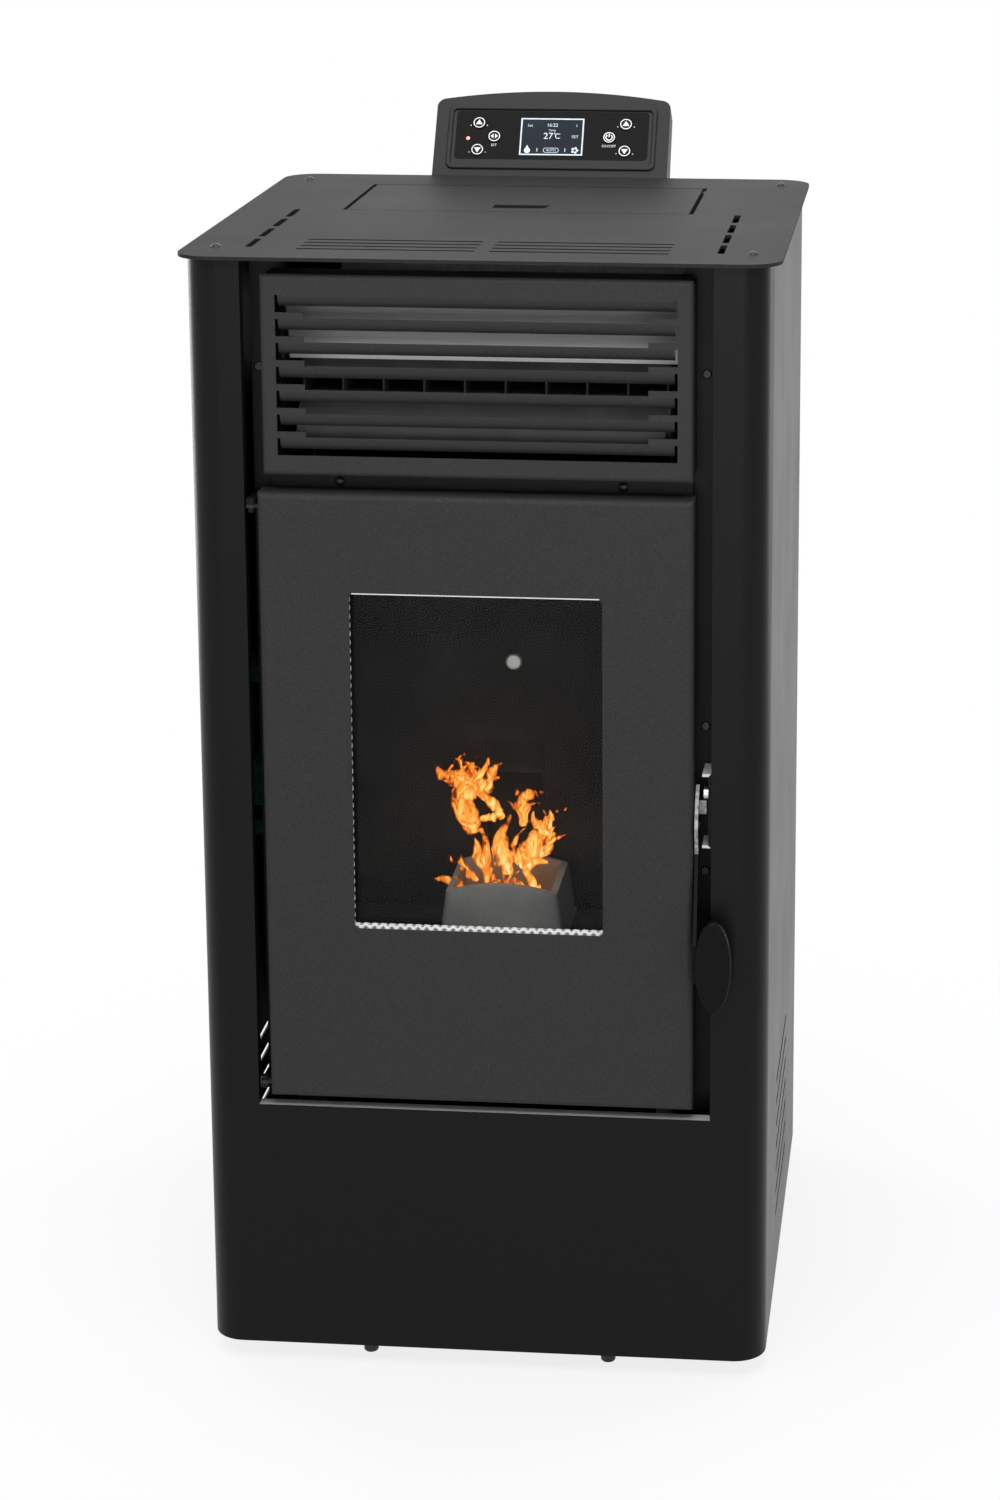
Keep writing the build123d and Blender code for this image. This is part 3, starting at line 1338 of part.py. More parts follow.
def auger_motor():
    box_end = -gearbox_length
    gearbox = auger_plane(box_end / 2) * Box(gearbox_size, gearbox_size, gearbox_length)
    gearbox = fillet(gearbox.edges().filter_by(Axis((0, 0, 0), auger_plane(0).z_dir)), gearbox_corner_radius)
    gearbox -= auger_solid(auger_shaft_radius + running_gap, -gearbox_length / 2 - 0.3, 1)
    can = auger_solid(motor_radius, box_end - motor_length, box_end + 1)
    return gearbox + fillet(can.edges().filter_by(GeomType.CIRCLE).sort_by(Axis.Z)[0], motor_edge_radius)


def chute_top(end):
    """Y and Z of the chute's lower or upper edge where it meets the auger tube."""
    turn = math.radians(auger_angle)
    y, z = auger_point(auger_outlet_centre + end * auger_outlet_length / 2)
    reach = auger_tube_radius - chute_bite
    return (y - reach * math.sin(turn), z - reach * math.cos(turn))


def chute_slope():
    """How steeply the chute's roof climbs to the rear."""
    y, z = chute_top(1)
    return (z - chute_mouth_top) / (y - fireback_y)


def drop_chute():
    """The duct that pellets slide down: from under the auger through the firebox's back wall."""
    passage = make_face(Polyline(
        chute_top(-1),
        chute_top(1),
        (fireback_y, chute_mouth_top),
        (fireback_y, chute_mouth_bottom),
        close=True,
    ))
    skin = offset(passage, chute_wall, kind=Kind.INTERSECTION)
    half = chute_width / 2
    duct = sideways(skin, (-half - chute_wall, half + chute_wall)) - sideways(passage, (-half, half))
    duct -= block((-half - cut_margin, half + cut_margin), (fireback_y - cut_margin, fireback_y), (0, shell_top))
    return duct - auger_tube_space()


# ---------------------------------------------------------------- exhaust and air inlet
def scroll_outline(grow):
    """The blower's side view: a round casing with an outlet that leaves its foot to the rear."""
    casing = Pos(blower_y, blower_height) * Circle(scroll_radius + grow)
    outlet_length = scroll_outlet_y - blower_y
    outlet = Pos(blower_y + outlet_length / 2, flue_z) * Rectangle(outlet_length, scroll_outlet_height + 2 * grow)
    return casing + outlet


def exhaust_blower_housing():
    casing = sideways(scroll_outline(0), (scroll_left, scroll_right))
    inside = sideways(scroll_outline(-scroll_sheet), (scroll_left + scroll_sheet, scroll_right - scroll_sheet))
    casing -= inside
    outlet_y = (scroll_outlet_y - 2 * scroll_sheet, scroll_outlet_y + 1)
    casing -= block((scroll_left + scroll_sheet, scroll_right - scroll_sheet), outlet_y,
                    (flue_z - scroll_outlet_height / 2 + scroll_sheet, flue_z + scroll_outlet_height / 2 - scroll_sheet))
    centre = (blower_y, blower_height)
    casing -= rod(scroll_inlet_radius, (scroll_left - 1, *centre), (scroll_left + 2 * scroll_sheet, *centre))
    casing -= rod(exhaust_shaft_radius + running_gap, (scroll_right - 2 * scroll_sheet, *centre),
                  (scroll_right + 1, *centre))
    return casing


def exhaust_impeller():
    centre = (blower_y, blower_height)
    left = blower_offset - impeller_width / 2
    right = blower_offset + impeller_width / 2
    wheel = rod(impeller_radius, (right - impeller_blade, *centre), (right, *centre))
    wheel += rod(impeller_hub_radius, (left + impeller_width / 2, *centre), (right, *centre))
    for step in range(impeller_blade_count):
        blade = Pos(0, (impeller_radius + impeller_hub_radius) / 2 - 2) * Rectangle(
            impeller_blade, impeller_radius - impeller_hub_radius)
        turned = Pos(*centre) * Rot(0, 0, step * 360 / impeller_blade_count) * blade
        wheel += sideways(turned, (left, right - impeller_blade / 2))
    wheel += rod(exhaust_shaft_radius, (right - 1, *centre), (scroll_right + exhaust_motor_length / 3, *centre))
    return wheel


def exhaust_motor():
    centre = (blower_y, blower_height)
    far = scroll_right + exhaust_motor_length
    can = rod(exhaust_motor_radius, (scroll_right, *centre), (far, *centre))
    can = fillet(can.edges().filter_by(GeomType.CIRCLE).sort_by(Axis.X)[-1], exhaust_motor_edge_radius)
    return can - rod(exhaust_shaft_radius + running_gap, (scroll_right - 1, *centre),
                     (scroll_right + exhaust_motor_length / 3 + seat_gap, *centre))


def exhaust_manifold():
    """A sheet box behind the firebox and a duct down to the blower's inlet."""
    wall = manifold_sheet
    left = manifold_left_offset
    bottom = firebox_floor + manifold_rise
    header_x = (left, left + manifold_width)
    header_y = (firebox_back_y, firebox_back_y + manifold_depth)
    header_z = (bottom, firebox_floor + manifold_height)
    duct_x = (scroll_left - manifold_duct_width, scroll_left)
    duct_y = (firebox_back_y, blower_y + scroll_inlet_radius + 2 * wall)
    duct_z = (blower_height - manifold_duct_drop, header_z[1])

    def shrink(span):
        return (span[0] + wall, span[1] - wall)

    outer = block(header_x, header_y, header_z) + block(duct_x, (header_y[0], duct_y[1]), duct_z)
    inner = block(shrink(header_x), (header_y[0] - 1, header_y[1] - wall), shrink(header_z))
    inner += block(shrink(duct_x), (header_y[0] + wall, duct_y[1] - wall), shrink(duct_z))
    box = outer - inner
    centre = (blower_y, blower_height)
    return box - rod(scroll_inlet_radius, (scroll_left - 2 * wall, *centre), (scroll_left + 1, *centre))


def stepped_pipe(radius, wall, x, z, start_y, end_y):
    """A pipe to the rear whose free end is narrower, so that what slides over it meets a stop."""
    pipe = rod(radius + wall, (x, start_y, z), (x, pipe_stop_y, z)) + rod(radius, (x, start_y, z), (x, end_y, z))
    return pipe - rod(radius - wall, (x, start_y - 1, z), (x, end_y + 1, z))


def flue_collar():
    start_y = scroll_outlet_y
    flange_x = scroll_width / 2 + flue_flange
    flange_z = scroll_outlet_height / 2 + flue_flange
    flange = block((blower_offset - flange_x, blower_offset + flange_x), (start_y, start_y + scroll_sheet),
                   (flue_z - flange_z, flue_z + flange_z))
    flange -= rod(flue_radius, (blower_offset, start_y - 1, flue_z), (blower_offset, rear_y, flue_z))
    return flange + stepped_pipe(flue_radius, flue_wall, blower_offset, flue_z, start_y, rear_y + flue_projection)


def air_inlet_pipe():
    return stepped_pipe(inlet_radius, inlet_wall, inlet_offset, inlet_z, firebox_back_y, rear_y + inlet_projection)


# ---------------------------------------------------------------- convection blower
def convection_blower_housing():
    """Two end plates, a curved guide behind the drum and a straight lip, on feet at the base plate."""
    guide_radius = drum_radius + guide_gap
    outer = guide_radius + guide_sheet
    centre = (drum_y, drum_height)
    ends = (drum_left_offset - guide_end_margin, drum_right_offset + guide_end_margin)
    guide = Pos(*centre) * (Circle(outer) - Circle(guide_radius))
    guide &= Pos(centre[0] + outer / 2, centre[1]) * Rectangle(outer, 2 * outer)
    guide += Pos(centre[0] + guide_radius + guide_sheet / 2, centre[1] + outer / 2) * Rectangle(guide_sheet, outer)
    housing = sideways(guide, ends)
    cheek = Pos(centre[0], (base_top + centre[1] + outer) / 2) * Rectangle(
        2 * outer, centre[1] + outer - base_top)
    for x in (ends[0] - guide_sheet, ends[1]):
        plate = sideways(cheek, (x, x + guide_sheet))
        plate -= rod(drum_shaft_radius + running_gap, (x - 1, *centre), (x + guide_sheet + 1, *centre))
        housing += plate
    return housing


def convection_drum():
    centre = (drum_y, drum_height)
    left = drum_left_offset
    right = drum_right_offset
    drum = rod(drum_shaft_radius, (left - convection_motor_length / 2, *centre), (right + 2 * guide_end_margin, *centre))
    for x in (left, (left + right - drum_disc) / 2, right - drum_disc):
        drum += rod(drum_radius, (x, *centre), (x + drum_disc, *centre))
    blades = Sketch()
    for step in range(drum_blade_count):
        blades += Pos(*centre) * Rot(0, 0, step * 360 / drum_blade_count) * Pos(
            drum_radius - drum_blade_width / 2 - 1, 0) * Rot(0, 0, 30) * Rectangle(drum_blade_width, drum_blade_thickness)
    return drum + sideways(blades, (left, right))


def convection_motor():
    centre = (drum_y, drum_height)
    face = drum_left_offset - guide_end_margin - guide_sheet
    can = rod(convection_motor_radius, (face - convection_motor_length, *centre), (face, *centre))
    can = fillet(can.edges().filter_by(GeomType.CIRCLE).sort_by(Axis.X)[0], convection_motor_edge_radius)
    return can - rod(drum_shaft_radius + running_gap, (drum_left_offset - convection_motor_length / 2 - 1, *centre),
                     (face + 1, *centre))


# ---------------------------------------------------------------- control panel
def panel_plane():
    """The panel's front face: X is the stove's X, Y runs up the slope, Z points out at the user."""
    turn = math.radians(panel_tilt)
    return Plane(origin=(0, plate_rear_y + seat_gap, plate_top), x_dir=(1, 0, 0),
                 z_dir=(0, -math.cos(turn), math.sin(turn)))


def on_panel(sketch, start, end):
    """A sketch on the panel's face, given thickness between two heights above it."""
    return extrude(panel_plane() * Pos(0, 0, start) * sketch, end - start)


def panel_outline():
    half = panel_width / 2
    outline = make_face([
        Line((-half, -panel_tail), (half, -panel_tail)),
        Line((half, -panel_tail), (half, panel_side_height)),
        ThreePointArc((half, panel_side_height), (0, panel_side_height + panel_arch), (-half, panel_side_height)),
        Line((-half, panel_side_height), (-half, -panel_tail)),
    ])
    return fillet(outline.vertices().sort_by(Axis.Y)[-2:], panel_corner_radius)


def key_places():
    """The keys by name, as X and Y on the panel."""
    rows = {"up": (key_outer_offset, 1), "middle": (key_inner_offset, 0), "down": (key_outer_offset, -1)}
    names = {-1: {"up": "key_left_up", "middle": "key_set", "down": "key_left_down"},
             1: {"up": "key_right_up", "middle": "key_power", "down": "key_right_down"}}
    return {names[side][row]: (side * offset, key_middle_row + step * key_row_pitch)
            for side in (-1, 1) for row, (offset, step) in rows.items()}


def control_housing():
    turn = math.radians(panel_tilt)
    reach = panel_side_height + panel_arch
    front = plate_rear_y + seat_gap
    top_front = (front + reach * math.sin(turn), plate_top + reach * math.cos(turn))
    top_rear = (top_front[0] + panel_thickness * math.cos(turn), top_front[1] - panel_thickness * math.sin(turn))
    foot_z = shell_top - panel_foot
    side = make_face(Polyline(
        (rear_face_y, foot_z),
        (rear_face_y, shell_top - seat_gap),
        (front, shell_top - seat_gap),
        (front, plate_top),
        top_front,
        top_rear,
        (front + panel_thickness * 1.2, foot_z + panel_foot / 2),
        (front + panel_thickness / 2, foot_z),
        close=True,
    ))
    housing = sideways(side, (-panel_width / 2, panel_width / 2))
    housing &= on_panel(panel_outline(), -3 * panel_thickness - panel_foot, bezel_proud)
    bezel = rounded(bezel_width, bezel_height, bezel_corner_radius, 0, bezel_bottom + bezel_height / 2)
    rim = bezel - rounded(bezel_width - 2 * bezel_rim, bezel_height - 2 * bezel_rim, bezel_corner_radius / 2, 0,
                          bezel_bottom + bezel_height / 2)
    raised = on_panel(rim, -1, bezel_proud)
    crest = raised.faces().sort_by(Axis(panel_plane().origin, panel_plane().z_dir))[-1]
    housing += fillet(crest.edges(), bezel_proud * 0.9)
    label_y = label_bottom + label_height / 2
    seat = rounded(label_width + 2 * screw_gap, label_height + 2 * screw_gap, label_corner_radius, 0, label_y)
    housing -= on_panel(seat, -label_sheet, bezel_proud)
    well = rounded(label_width - 2 * label_ledge, label_height - 1.5 * label_ledge, label_corner_radius, 0, label_y)
    housing -= on_panel(well, -panel_pocket, bezel_proud)
    return housing


def control_label():
    label = rounded(label_width, label_height, label_corner_radius, 0, label_bottom + label_height / 2)
    label -= Pos(0, screen_bottom + screen_height / 2) * Rectangle(screen_width + 2 * screw_gap,
                                                                    screen_height + 2 * screw_gap)
    for x, y in key_places().values():
        label -= Pos(x, y) * Circle(key_radius + key_gap)
    return on_panel(label, -label_sheet, 0)


def lcd_screen():
    centre = Pos(0, screen_bottom + screen_height / 2)
    screen = on_panel(centre * Rectangle(screen_width, screen_height), -screen_depth, -screen_recess)
    support = centre * Rectangle(screen_width - 2 * screen_frame, screen_height - 2 * screen_frame)
    return screen + on_panel(support, -panel_pocket, -screen_depth + bite)


def panel_key(x, y):
    cap = on_panel(Pos(x, y) * Circle(key_radius), key_proud - key_length, key_proud)
    crest = cap.faces().sort_by(Axis(panel_plane().origin, panel_plane().z_dir))[-1]
    return fillet(crest.edges(), key_proud / 2)


# ---------------------------------------------------------------- electrics
def control_board():
    """The main board on four standoffs, on the cabinet's left side wall."""
    wall_x = -body_width / 2 + shell_sheet
    board_x = wall_x + board_standoff
    start = front_y + board_setback
    y_range = (start, start + board_width)
    z_range = (board_bottom_height, board_bottom_height + board_height)
    board = block((board_x, board_x + board_sheet), y_range, z_range)
    inset = board_standoff
    for y in (y_range[0] + inset, y_range[1] - inset):
        for z in (z_range[0] + inset, z_range[1] - inset):
            board += rod(board_standoff / 3, (wall_x, y, z), (board_x + bite, y, z))
    top_x = board_x + board_sheet
    parts = (
        (board_terminal_height, 0.08, 0.92, 0.04, 0.12),
        (board_transformer_height, 0.10, 0.38, 0.20, 0.44),
        (board_relay_height, 0.50, 0.66, 0.24, 0.34),
        (board_relay_height, 0.72, 0.88, 0.24, 0.34),
        (board_chip_height, 0.45, 0.75, 0.52, 0.70),
        (board_connector_height, 0.08, 0.92, 0.88, 0.96),
    )
    for height, y_low, y_high, z_low, z_high in parts:
        board += block((top_x - bite, top_x + height),
                       (start + y_low * board_width, start + y_high * board_width),
                       (board_bottom_height + z_low * board_height, board_bottom_height + z_high * board_height))
    return board


def power_inlet():
    """A three-pole appliance inlet let into the rear panel."""
    x = inlet_socket_side_setback - body_width / 2
    z = inlet_socket_centre_height
    half_x = inlet_socket_width / 2
    half_z = inlet_socket_height / 2
    body = block((x - half_x, x + half_x), (rear_face_y - inlet_socket_depth, rear_face_y + inlet_socket_flange),
                 (z - half_z, z + half_z))
    rim_x = half_x + inlet_socket_rim
    rim_z = half_z + inlet_socket_rim
    outer_y = rear_face_y + inlet_socket_flange
    body += block((x - rim_x, x + rim_x), (rear_face_y, outer_y), (z - rim_z, z + rim_z))
    well_x = half_x - inlet_well_side_margin
    well_z = half_z - inlet_well_end_margin
    body -= block((x - well_x, x + well_x), (outer_y - inlet_well_depth, outer_y + 1), (z - well_z, z + well_z))
    for step in (-1, 0, 1):
        pin_x = (x + step * inlet_pin_pitch - inlet_pin_width / 2, x + step * inlet_pin_pitch + inlet_pin_width / 2)
        body += block(pin_x, (rear_face_y - inlet_well_depth, rear_face_y - inlet_socket_flange),
                      (z - inlet_pin_thickness / 2, z + inlet_pin_thickness / 2))
    return body


# ---------------------------------------------------------------- all nodes
def nodes():
    """Every node's name with its solid, or its list of separate solids."""
    pieces = {
        "cabinet_shell": cabinet_shell(),
        "base_plate": base_plate(),
        "rear_panel": rear_panel(),
        "top_plate": top_plate(),
        "dome_screws": dome_screws(),
        "casing_screws": casing_screws(),
        "front_post_left": front_post(-1),
        "front_post_right": front_post(1),
        "cross_rail": cross_rail(),
        "air_outlet_grille": air_outlet_grille(),
        "air_duct": air_duct(),
        "upper_deflector": upper_deflector(),
        "door_frame": door_frame(),
        "door_glass": door_glass(),
        "glass_gasket": glass_gasket(),
        "glass_clips": glass_clips(),
        "door_rope_seal": door_rope_seal(),
        "hinge_bracket_top": hinge_bracket_top(),
        "hinge_bracket_bottom": hinge_bracket_bottom(),
        "door_lever": door_lever(),
        "door_knob": door_knob(),
        "catch_bracket": catch_bracket(),
        "catch_roller": catch_roller(),
        "firebox": firebox(),
        "firebox_stand": firebox_stand(),
        "fireback_plate": fireback_plate(),
        "burn_pot": burn_pot(),
        "burn_pot_holder": burn_pot_holder(),
        "ash_drawer": ash_drawer(),
        "igniter": igniter(),
        "hopper": hopper(),
        "hopper_lid": hopper_lid(),
        "auger_tube": auger_tube(),
        "auger_screw": auger_screw(),
        "auger_motor": auger_motor(),
        "drop_chute": drop_chute(),
        "exhaust_manifold": exhaust_manifold(),
        "exhaust_blower_housing": exhaust_blower_housing(),
        "exhaust_impeller": exhaust_impeller(),
        "exhaust_motor": exhaust_motor(),
        "flue_collar": flue_collar(),
        "air_inlet_pipe": air_inlet_pipe(),
        "convection_blower_housing": convection_blower_housing(),
        "convection_drum": convection_drum(),
        "convection_motor": convection_motor(),
        "control_housing": control_housing(),
        "control_label": control_label(),
        "lcd_screen": lcd_screen(),
        "control_board": control_board(),
        "power_inlet": power_inlet(),
    }
    for name, (x, y) in key_places().items():
        pieces[name] = panel_key(x, y)
    for name, (x, y) in foot_places().items():
        pieces[name] = levelling_foot(x, y)
    return pieces


os.makedirs("parts", exist_ok=True)
for name, piece in nodes().items():
    solids = Compound(children=piece) if isinstance(piece, list) else piece
    export_step(solids, f"parts/{name}.step")
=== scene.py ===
"""A free-standing pellet stove: finishes, small details, fire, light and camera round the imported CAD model.

Metres, +Z up, -Y towards the viewer. The CAD nodes keep their shape and get their materials here.
"""

import math
import random

import bpy
from mathutils import Matrix, Vector, noise


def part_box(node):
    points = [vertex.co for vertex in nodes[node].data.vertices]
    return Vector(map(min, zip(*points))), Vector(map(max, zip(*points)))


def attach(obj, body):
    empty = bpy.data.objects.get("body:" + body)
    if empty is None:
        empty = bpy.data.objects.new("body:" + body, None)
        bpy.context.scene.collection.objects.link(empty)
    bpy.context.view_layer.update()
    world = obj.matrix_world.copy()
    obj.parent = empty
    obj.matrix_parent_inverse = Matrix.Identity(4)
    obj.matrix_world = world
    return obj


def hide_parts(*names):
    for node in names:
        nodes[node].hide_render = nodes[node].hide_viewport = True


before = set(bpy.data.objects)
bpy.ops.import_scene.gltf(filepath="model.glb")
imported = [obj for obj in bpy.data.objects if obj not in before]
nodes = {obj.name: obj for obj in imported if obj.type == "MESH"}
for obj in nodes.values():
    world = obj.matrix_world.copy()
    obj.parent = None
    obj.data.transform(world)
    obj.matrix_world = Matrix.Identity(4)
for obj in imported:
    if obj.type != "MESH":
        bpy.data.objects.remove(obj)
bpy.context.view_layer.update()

# ---------------------------------------------------------------- driving values
camera_place = (0.3946, -3.0192, 1.4192)
camera_yaw = 5.24           # degrees to the left of straight ahead
camera_pitch = 12.234       # degrees below the horizon
camera_roll = -0.041
camera_lens = 82.5
camera_film = 36.0
camera_shift = (-0.10, -0.20)

world_strength = 0.35       # what the surroundings give the object, where 1 is white
floor_half_width = 9.0
floor_drop = 0.0005         # the floor lies this far below the feet
floor_white_share = 0.82    # how much of the floor under the stove is plain white, the rest keeps its shadow
floor_shadow_start = 0.25   # metres from the stove's middle at which the floor starts to turn white
floor_shadow_reach = 0.9    # and at which it is plain white

lip_below_door = 0.0095     # the opening's lower lip lies this far below the door
lip_reach = 0.012           # and its faces lie no further than this from there
lip_half_width = 0.206
lip_front = -0.24           # the lip lies in front of this Y
window_sheet_depth = 0.004  # the window's cut edge lies no further than this behind the door's front
window_edge_reach = 0.03    # and no further than this below the top of the glass
# how far down from its top the lever's front edge gets a painted highlight
lever_highlight_length = 0.07
flange_end_reach = 0.003    # the ends of the catch's flanges lie no further than this from its top and foot
fireback_bolt_base = 0.0065  # the bolt's head lies further forward than this from the plate's rear
highlight_height = 0.001          # the height of the painted highlight strip along the window's top
highlight_rise = 0.00004          # how far it stands above the paint

corner_steps = 6            # straight steps round each corner of a rope's path
rope_step = 0.0013          # between the rings of points that make a rope
rope_strands = 5
rope_strand_pitch = 0.0075
rope_relief = 0.0012
rope_round = 20             # points round a rope
gasket_lift = 0.0037        # how far the glass gasket's lower run shows above the window's edge

flame_strength = 1.2
flame_fullness = 1.35       # how much wider the tongues are than their traced widths
flame_depth = -0.112        # the Y of the fire's middle
flame_spread = 0.014        # how far a tongue may stand in front of it or behind it
flame_steps = 26            # rings of points along a tongue, and points round it
flame_round = 10
lick_least_width = 7        # millimetres: tongues at least this wide have licks at their sides

pellet_count = 170
pellet_radius = 0.003
pellet_length = (0.009, 0.016)
pellet_round = 8            # points round a pellet
bed_x, bed_y = (-0.036, 0.036), (-0.143, -0.079)
bed_base = 0.012            # the bed starts this far above the pot's underside
bed_depth = 0.022

random.seed(7)


# ---------------------------------------------------------------- node helpers
def maths(tree, operation, first, second):
    """A maths node on two values, each of which is a socket or a number."""
    node = tree.nodes.new("ShaderNodeMath")
    node.operation = operation
    for place, value in enumerate((first, second)):
        if isinstance(value, float):
            node.inputs[place].default_value = value
        else:
            tree.links.new(value, node.inputs[place])
    return node.outputs[0]


def map_range(tree, value, source, target, interpolation="LINEAR"):
    """A value carried over from one range of numbers to another."""
    node = tree.nodes.new("ShaderNodeMapRange")
    node.interpolation_type = interpolation
    for name, number in zip(("From Min", "From Max", "To Min", "To Max"), (*source, *target)):
        node.inputs[name].default_value = number
    tree.links.new(value, node.inputs["Value"])
    return node.outputs[0]


def any_ray(tree, *kinds):
    """1 for a ray of any of these kinds, and 0 for the others."""
    rays = tree.nodes.new("ShaderNodeLightPath")
    found = rays.outputs[kinds[0]]
    for kind in kinds[1:]:
        found = maths(tree, "MAXIMUM", found, rays.outputs[kind])
    return found


def blend(tree, share, first, second):
    """A mix of two shaders."""
    mix = tree.nodes.new("ShaderNodeMixShader")
    for place, value in enumerate((share, first, second)):
        tree.links.new(value, mix.inputs[place])
    return mix.outputs[0]


# ---------------------------------------------------------------- camera, floor and light
def make_camera():
    data = bpy.data.cameras.new("camera")
    data.lens = camera_lens
    data.sensor_width = camera_film
    data.shift_x, data.shift_y = camera_shift
    data.clip_start = 0.05
    data.clip_end = 60.0
    camera = bpy.data.objects.new("camera", data)
    bpy.context.scene.collection.objects.link(camera)
    yaw = Matrix.Rotation(math.radians(camera_yaw), 4, "Z")
    pitch = Matrix.Rotation(math.radians(90.0 - camera_pitch), 4, "X")
    roll = Matrix.Rotation(math.radians(-camera_roll), 4, "Z")
    camera.matrix_world = Matrix.Translation(camera_place) @ yaw @ pitch @ roll
    bpy.context.scene.camera = camera


def area_light(name, place, target, size, power):
    """A softbox at a place, turned to a target, with its width and height, and its power in watts."""
    data = bpy.data.lights.new(name, "AREA")
    data.shape = "RECTANGLE"
    data.size, data.size_y = size
    data.energy = power
    lamp = bpy.data.objects.new(name, data)
    bpy.context.scene.collection.objects.link(lamp)
    lamp.location = place
    aim = Vector(target) - Vector(place)
    lamp.rotation_mode = "QUATERNION"
    lamp.rotation_quaternion = aim.to_track_quat("-Z", "Y")


def make_lights():
    area_light("top_softbox", (0.0, -0.2, 3.2), (0.0, 0.0, 0.9), (2.2, 2.2), 44.0)
    area_light("front_fill", (0.5, -4.6, 0.8), (0.0, 0.0, 1.0), (2.6, 1.2), 34.0)
    area_light("front_top", (0.1, -1.5, 2.2), (0.0, -0.28, 0.85), (1.6, 0.5), 18.0)
    area_light("left_strip", (-1.9, 1.5, 1.0), (-0.2, -0.2, 0.55), (0.7, 2.2), 26.0)
    area_light("right_strip", (2.1, 1.5, 1.0), (0.2, -0.2, 0.55), (0.7, 2.2), 26.0)
    area_light("rear_fill", (0.0, 3.6, 2.2), (0.0, 0.0, 0.6), (2.4, 2.0), 28.0)


def make_world():
    """A dim grey world that camera, mirror and glass rays see as white."""
    world = bpy.data.worlds.new("studio")
    bpy.context.scene.world = world
    world.use_nodes = True
    tree = world.node_tree
    tree.nodes.clear()
    backgrounds = []
    for strength in (world_strength, 1.0):
        background = tree.nodes.new("ShaderNodeBackground")
        background.inputs["Color"].default_value = (1.0, 1.0, 1.0, 1.0)
        background.inputs["Strength"].default_value = strength
        backgrounds.append(background.outputs[0])
    seen = any_ray(tree, "Is Camera Ray", "Is Transmission Ray", "Is Glossy Ray")
    output = tree.nodes.new("ShaderNodeOutputWorld")
    tree.links.new(blend(tree, seen, *backgrounds), output.inputs["Surface"])


def floor_material():
    """Pale matt grey that is seen as nearly white, and as plain white away from the stove."""
    material = bpy.data.materials.new("pale_floor")
    material.use_nodes = True
    tree = material.node_tree
    surface = tree.nodes["Principled BSDF"]
    surface.inputs["Base Color"].default_value = (0.82, 0.82, 0.82, 1.0)
    surface.inputs["Roughness"].default_value = 0.9
    surface.inputs["Specular IOR Level"].default_value = 0.1
    glow = tree.nodes.new("ShaderNodeEmission")
    glow.inputs["Color"].default_value = (1.0, 1.0, 1.0, 1.0)
    distance = tree.nodes.new("ShaderNodeVectorMath")
    distance.operation = "LENGTH"
    tree.links.new(tree.nodes.new("ShaderNodeTexCoord").outputs["Object"], distance.inputs[0])
    white = map_range(tree, distance.outputs["Value"], (floor_shadow_start, floor_shadow_reach),
                      (floor_white_share, 1.0), "SMOOTHSTEP")
    seen = any_ray(tree, "Is Camera Ray", "Is Transmission Ray", "Is Glossy Ray")
    share = maths(tree, "MULTIPLY", seen, white)
    tree.links.new(blend(tree, share, surface.outputs[0], glow.outputs[0]),
                   tree.nodes["Material Output"].inputs["Surface"])
    return material


def make_floor():
    """A plain pale floor with the stove's soft shadow."""
    half = floor_half_width
    mesh = bpy.data.meshes.new("floor")
    corners = [(-half, -half, 0), (half, -half, 0), (half, half, 0), (-half, half, 0)]
    mesh.from_pydata(corners, [], [(0, 1, 2, 3)])
    mesh.materials.append(floor_material())
    floor = bpy.data.objects.new("floor", mesh)
    bpy.context.scene.collection.objects.link(floor)
    floor.location.z = -floor_drop


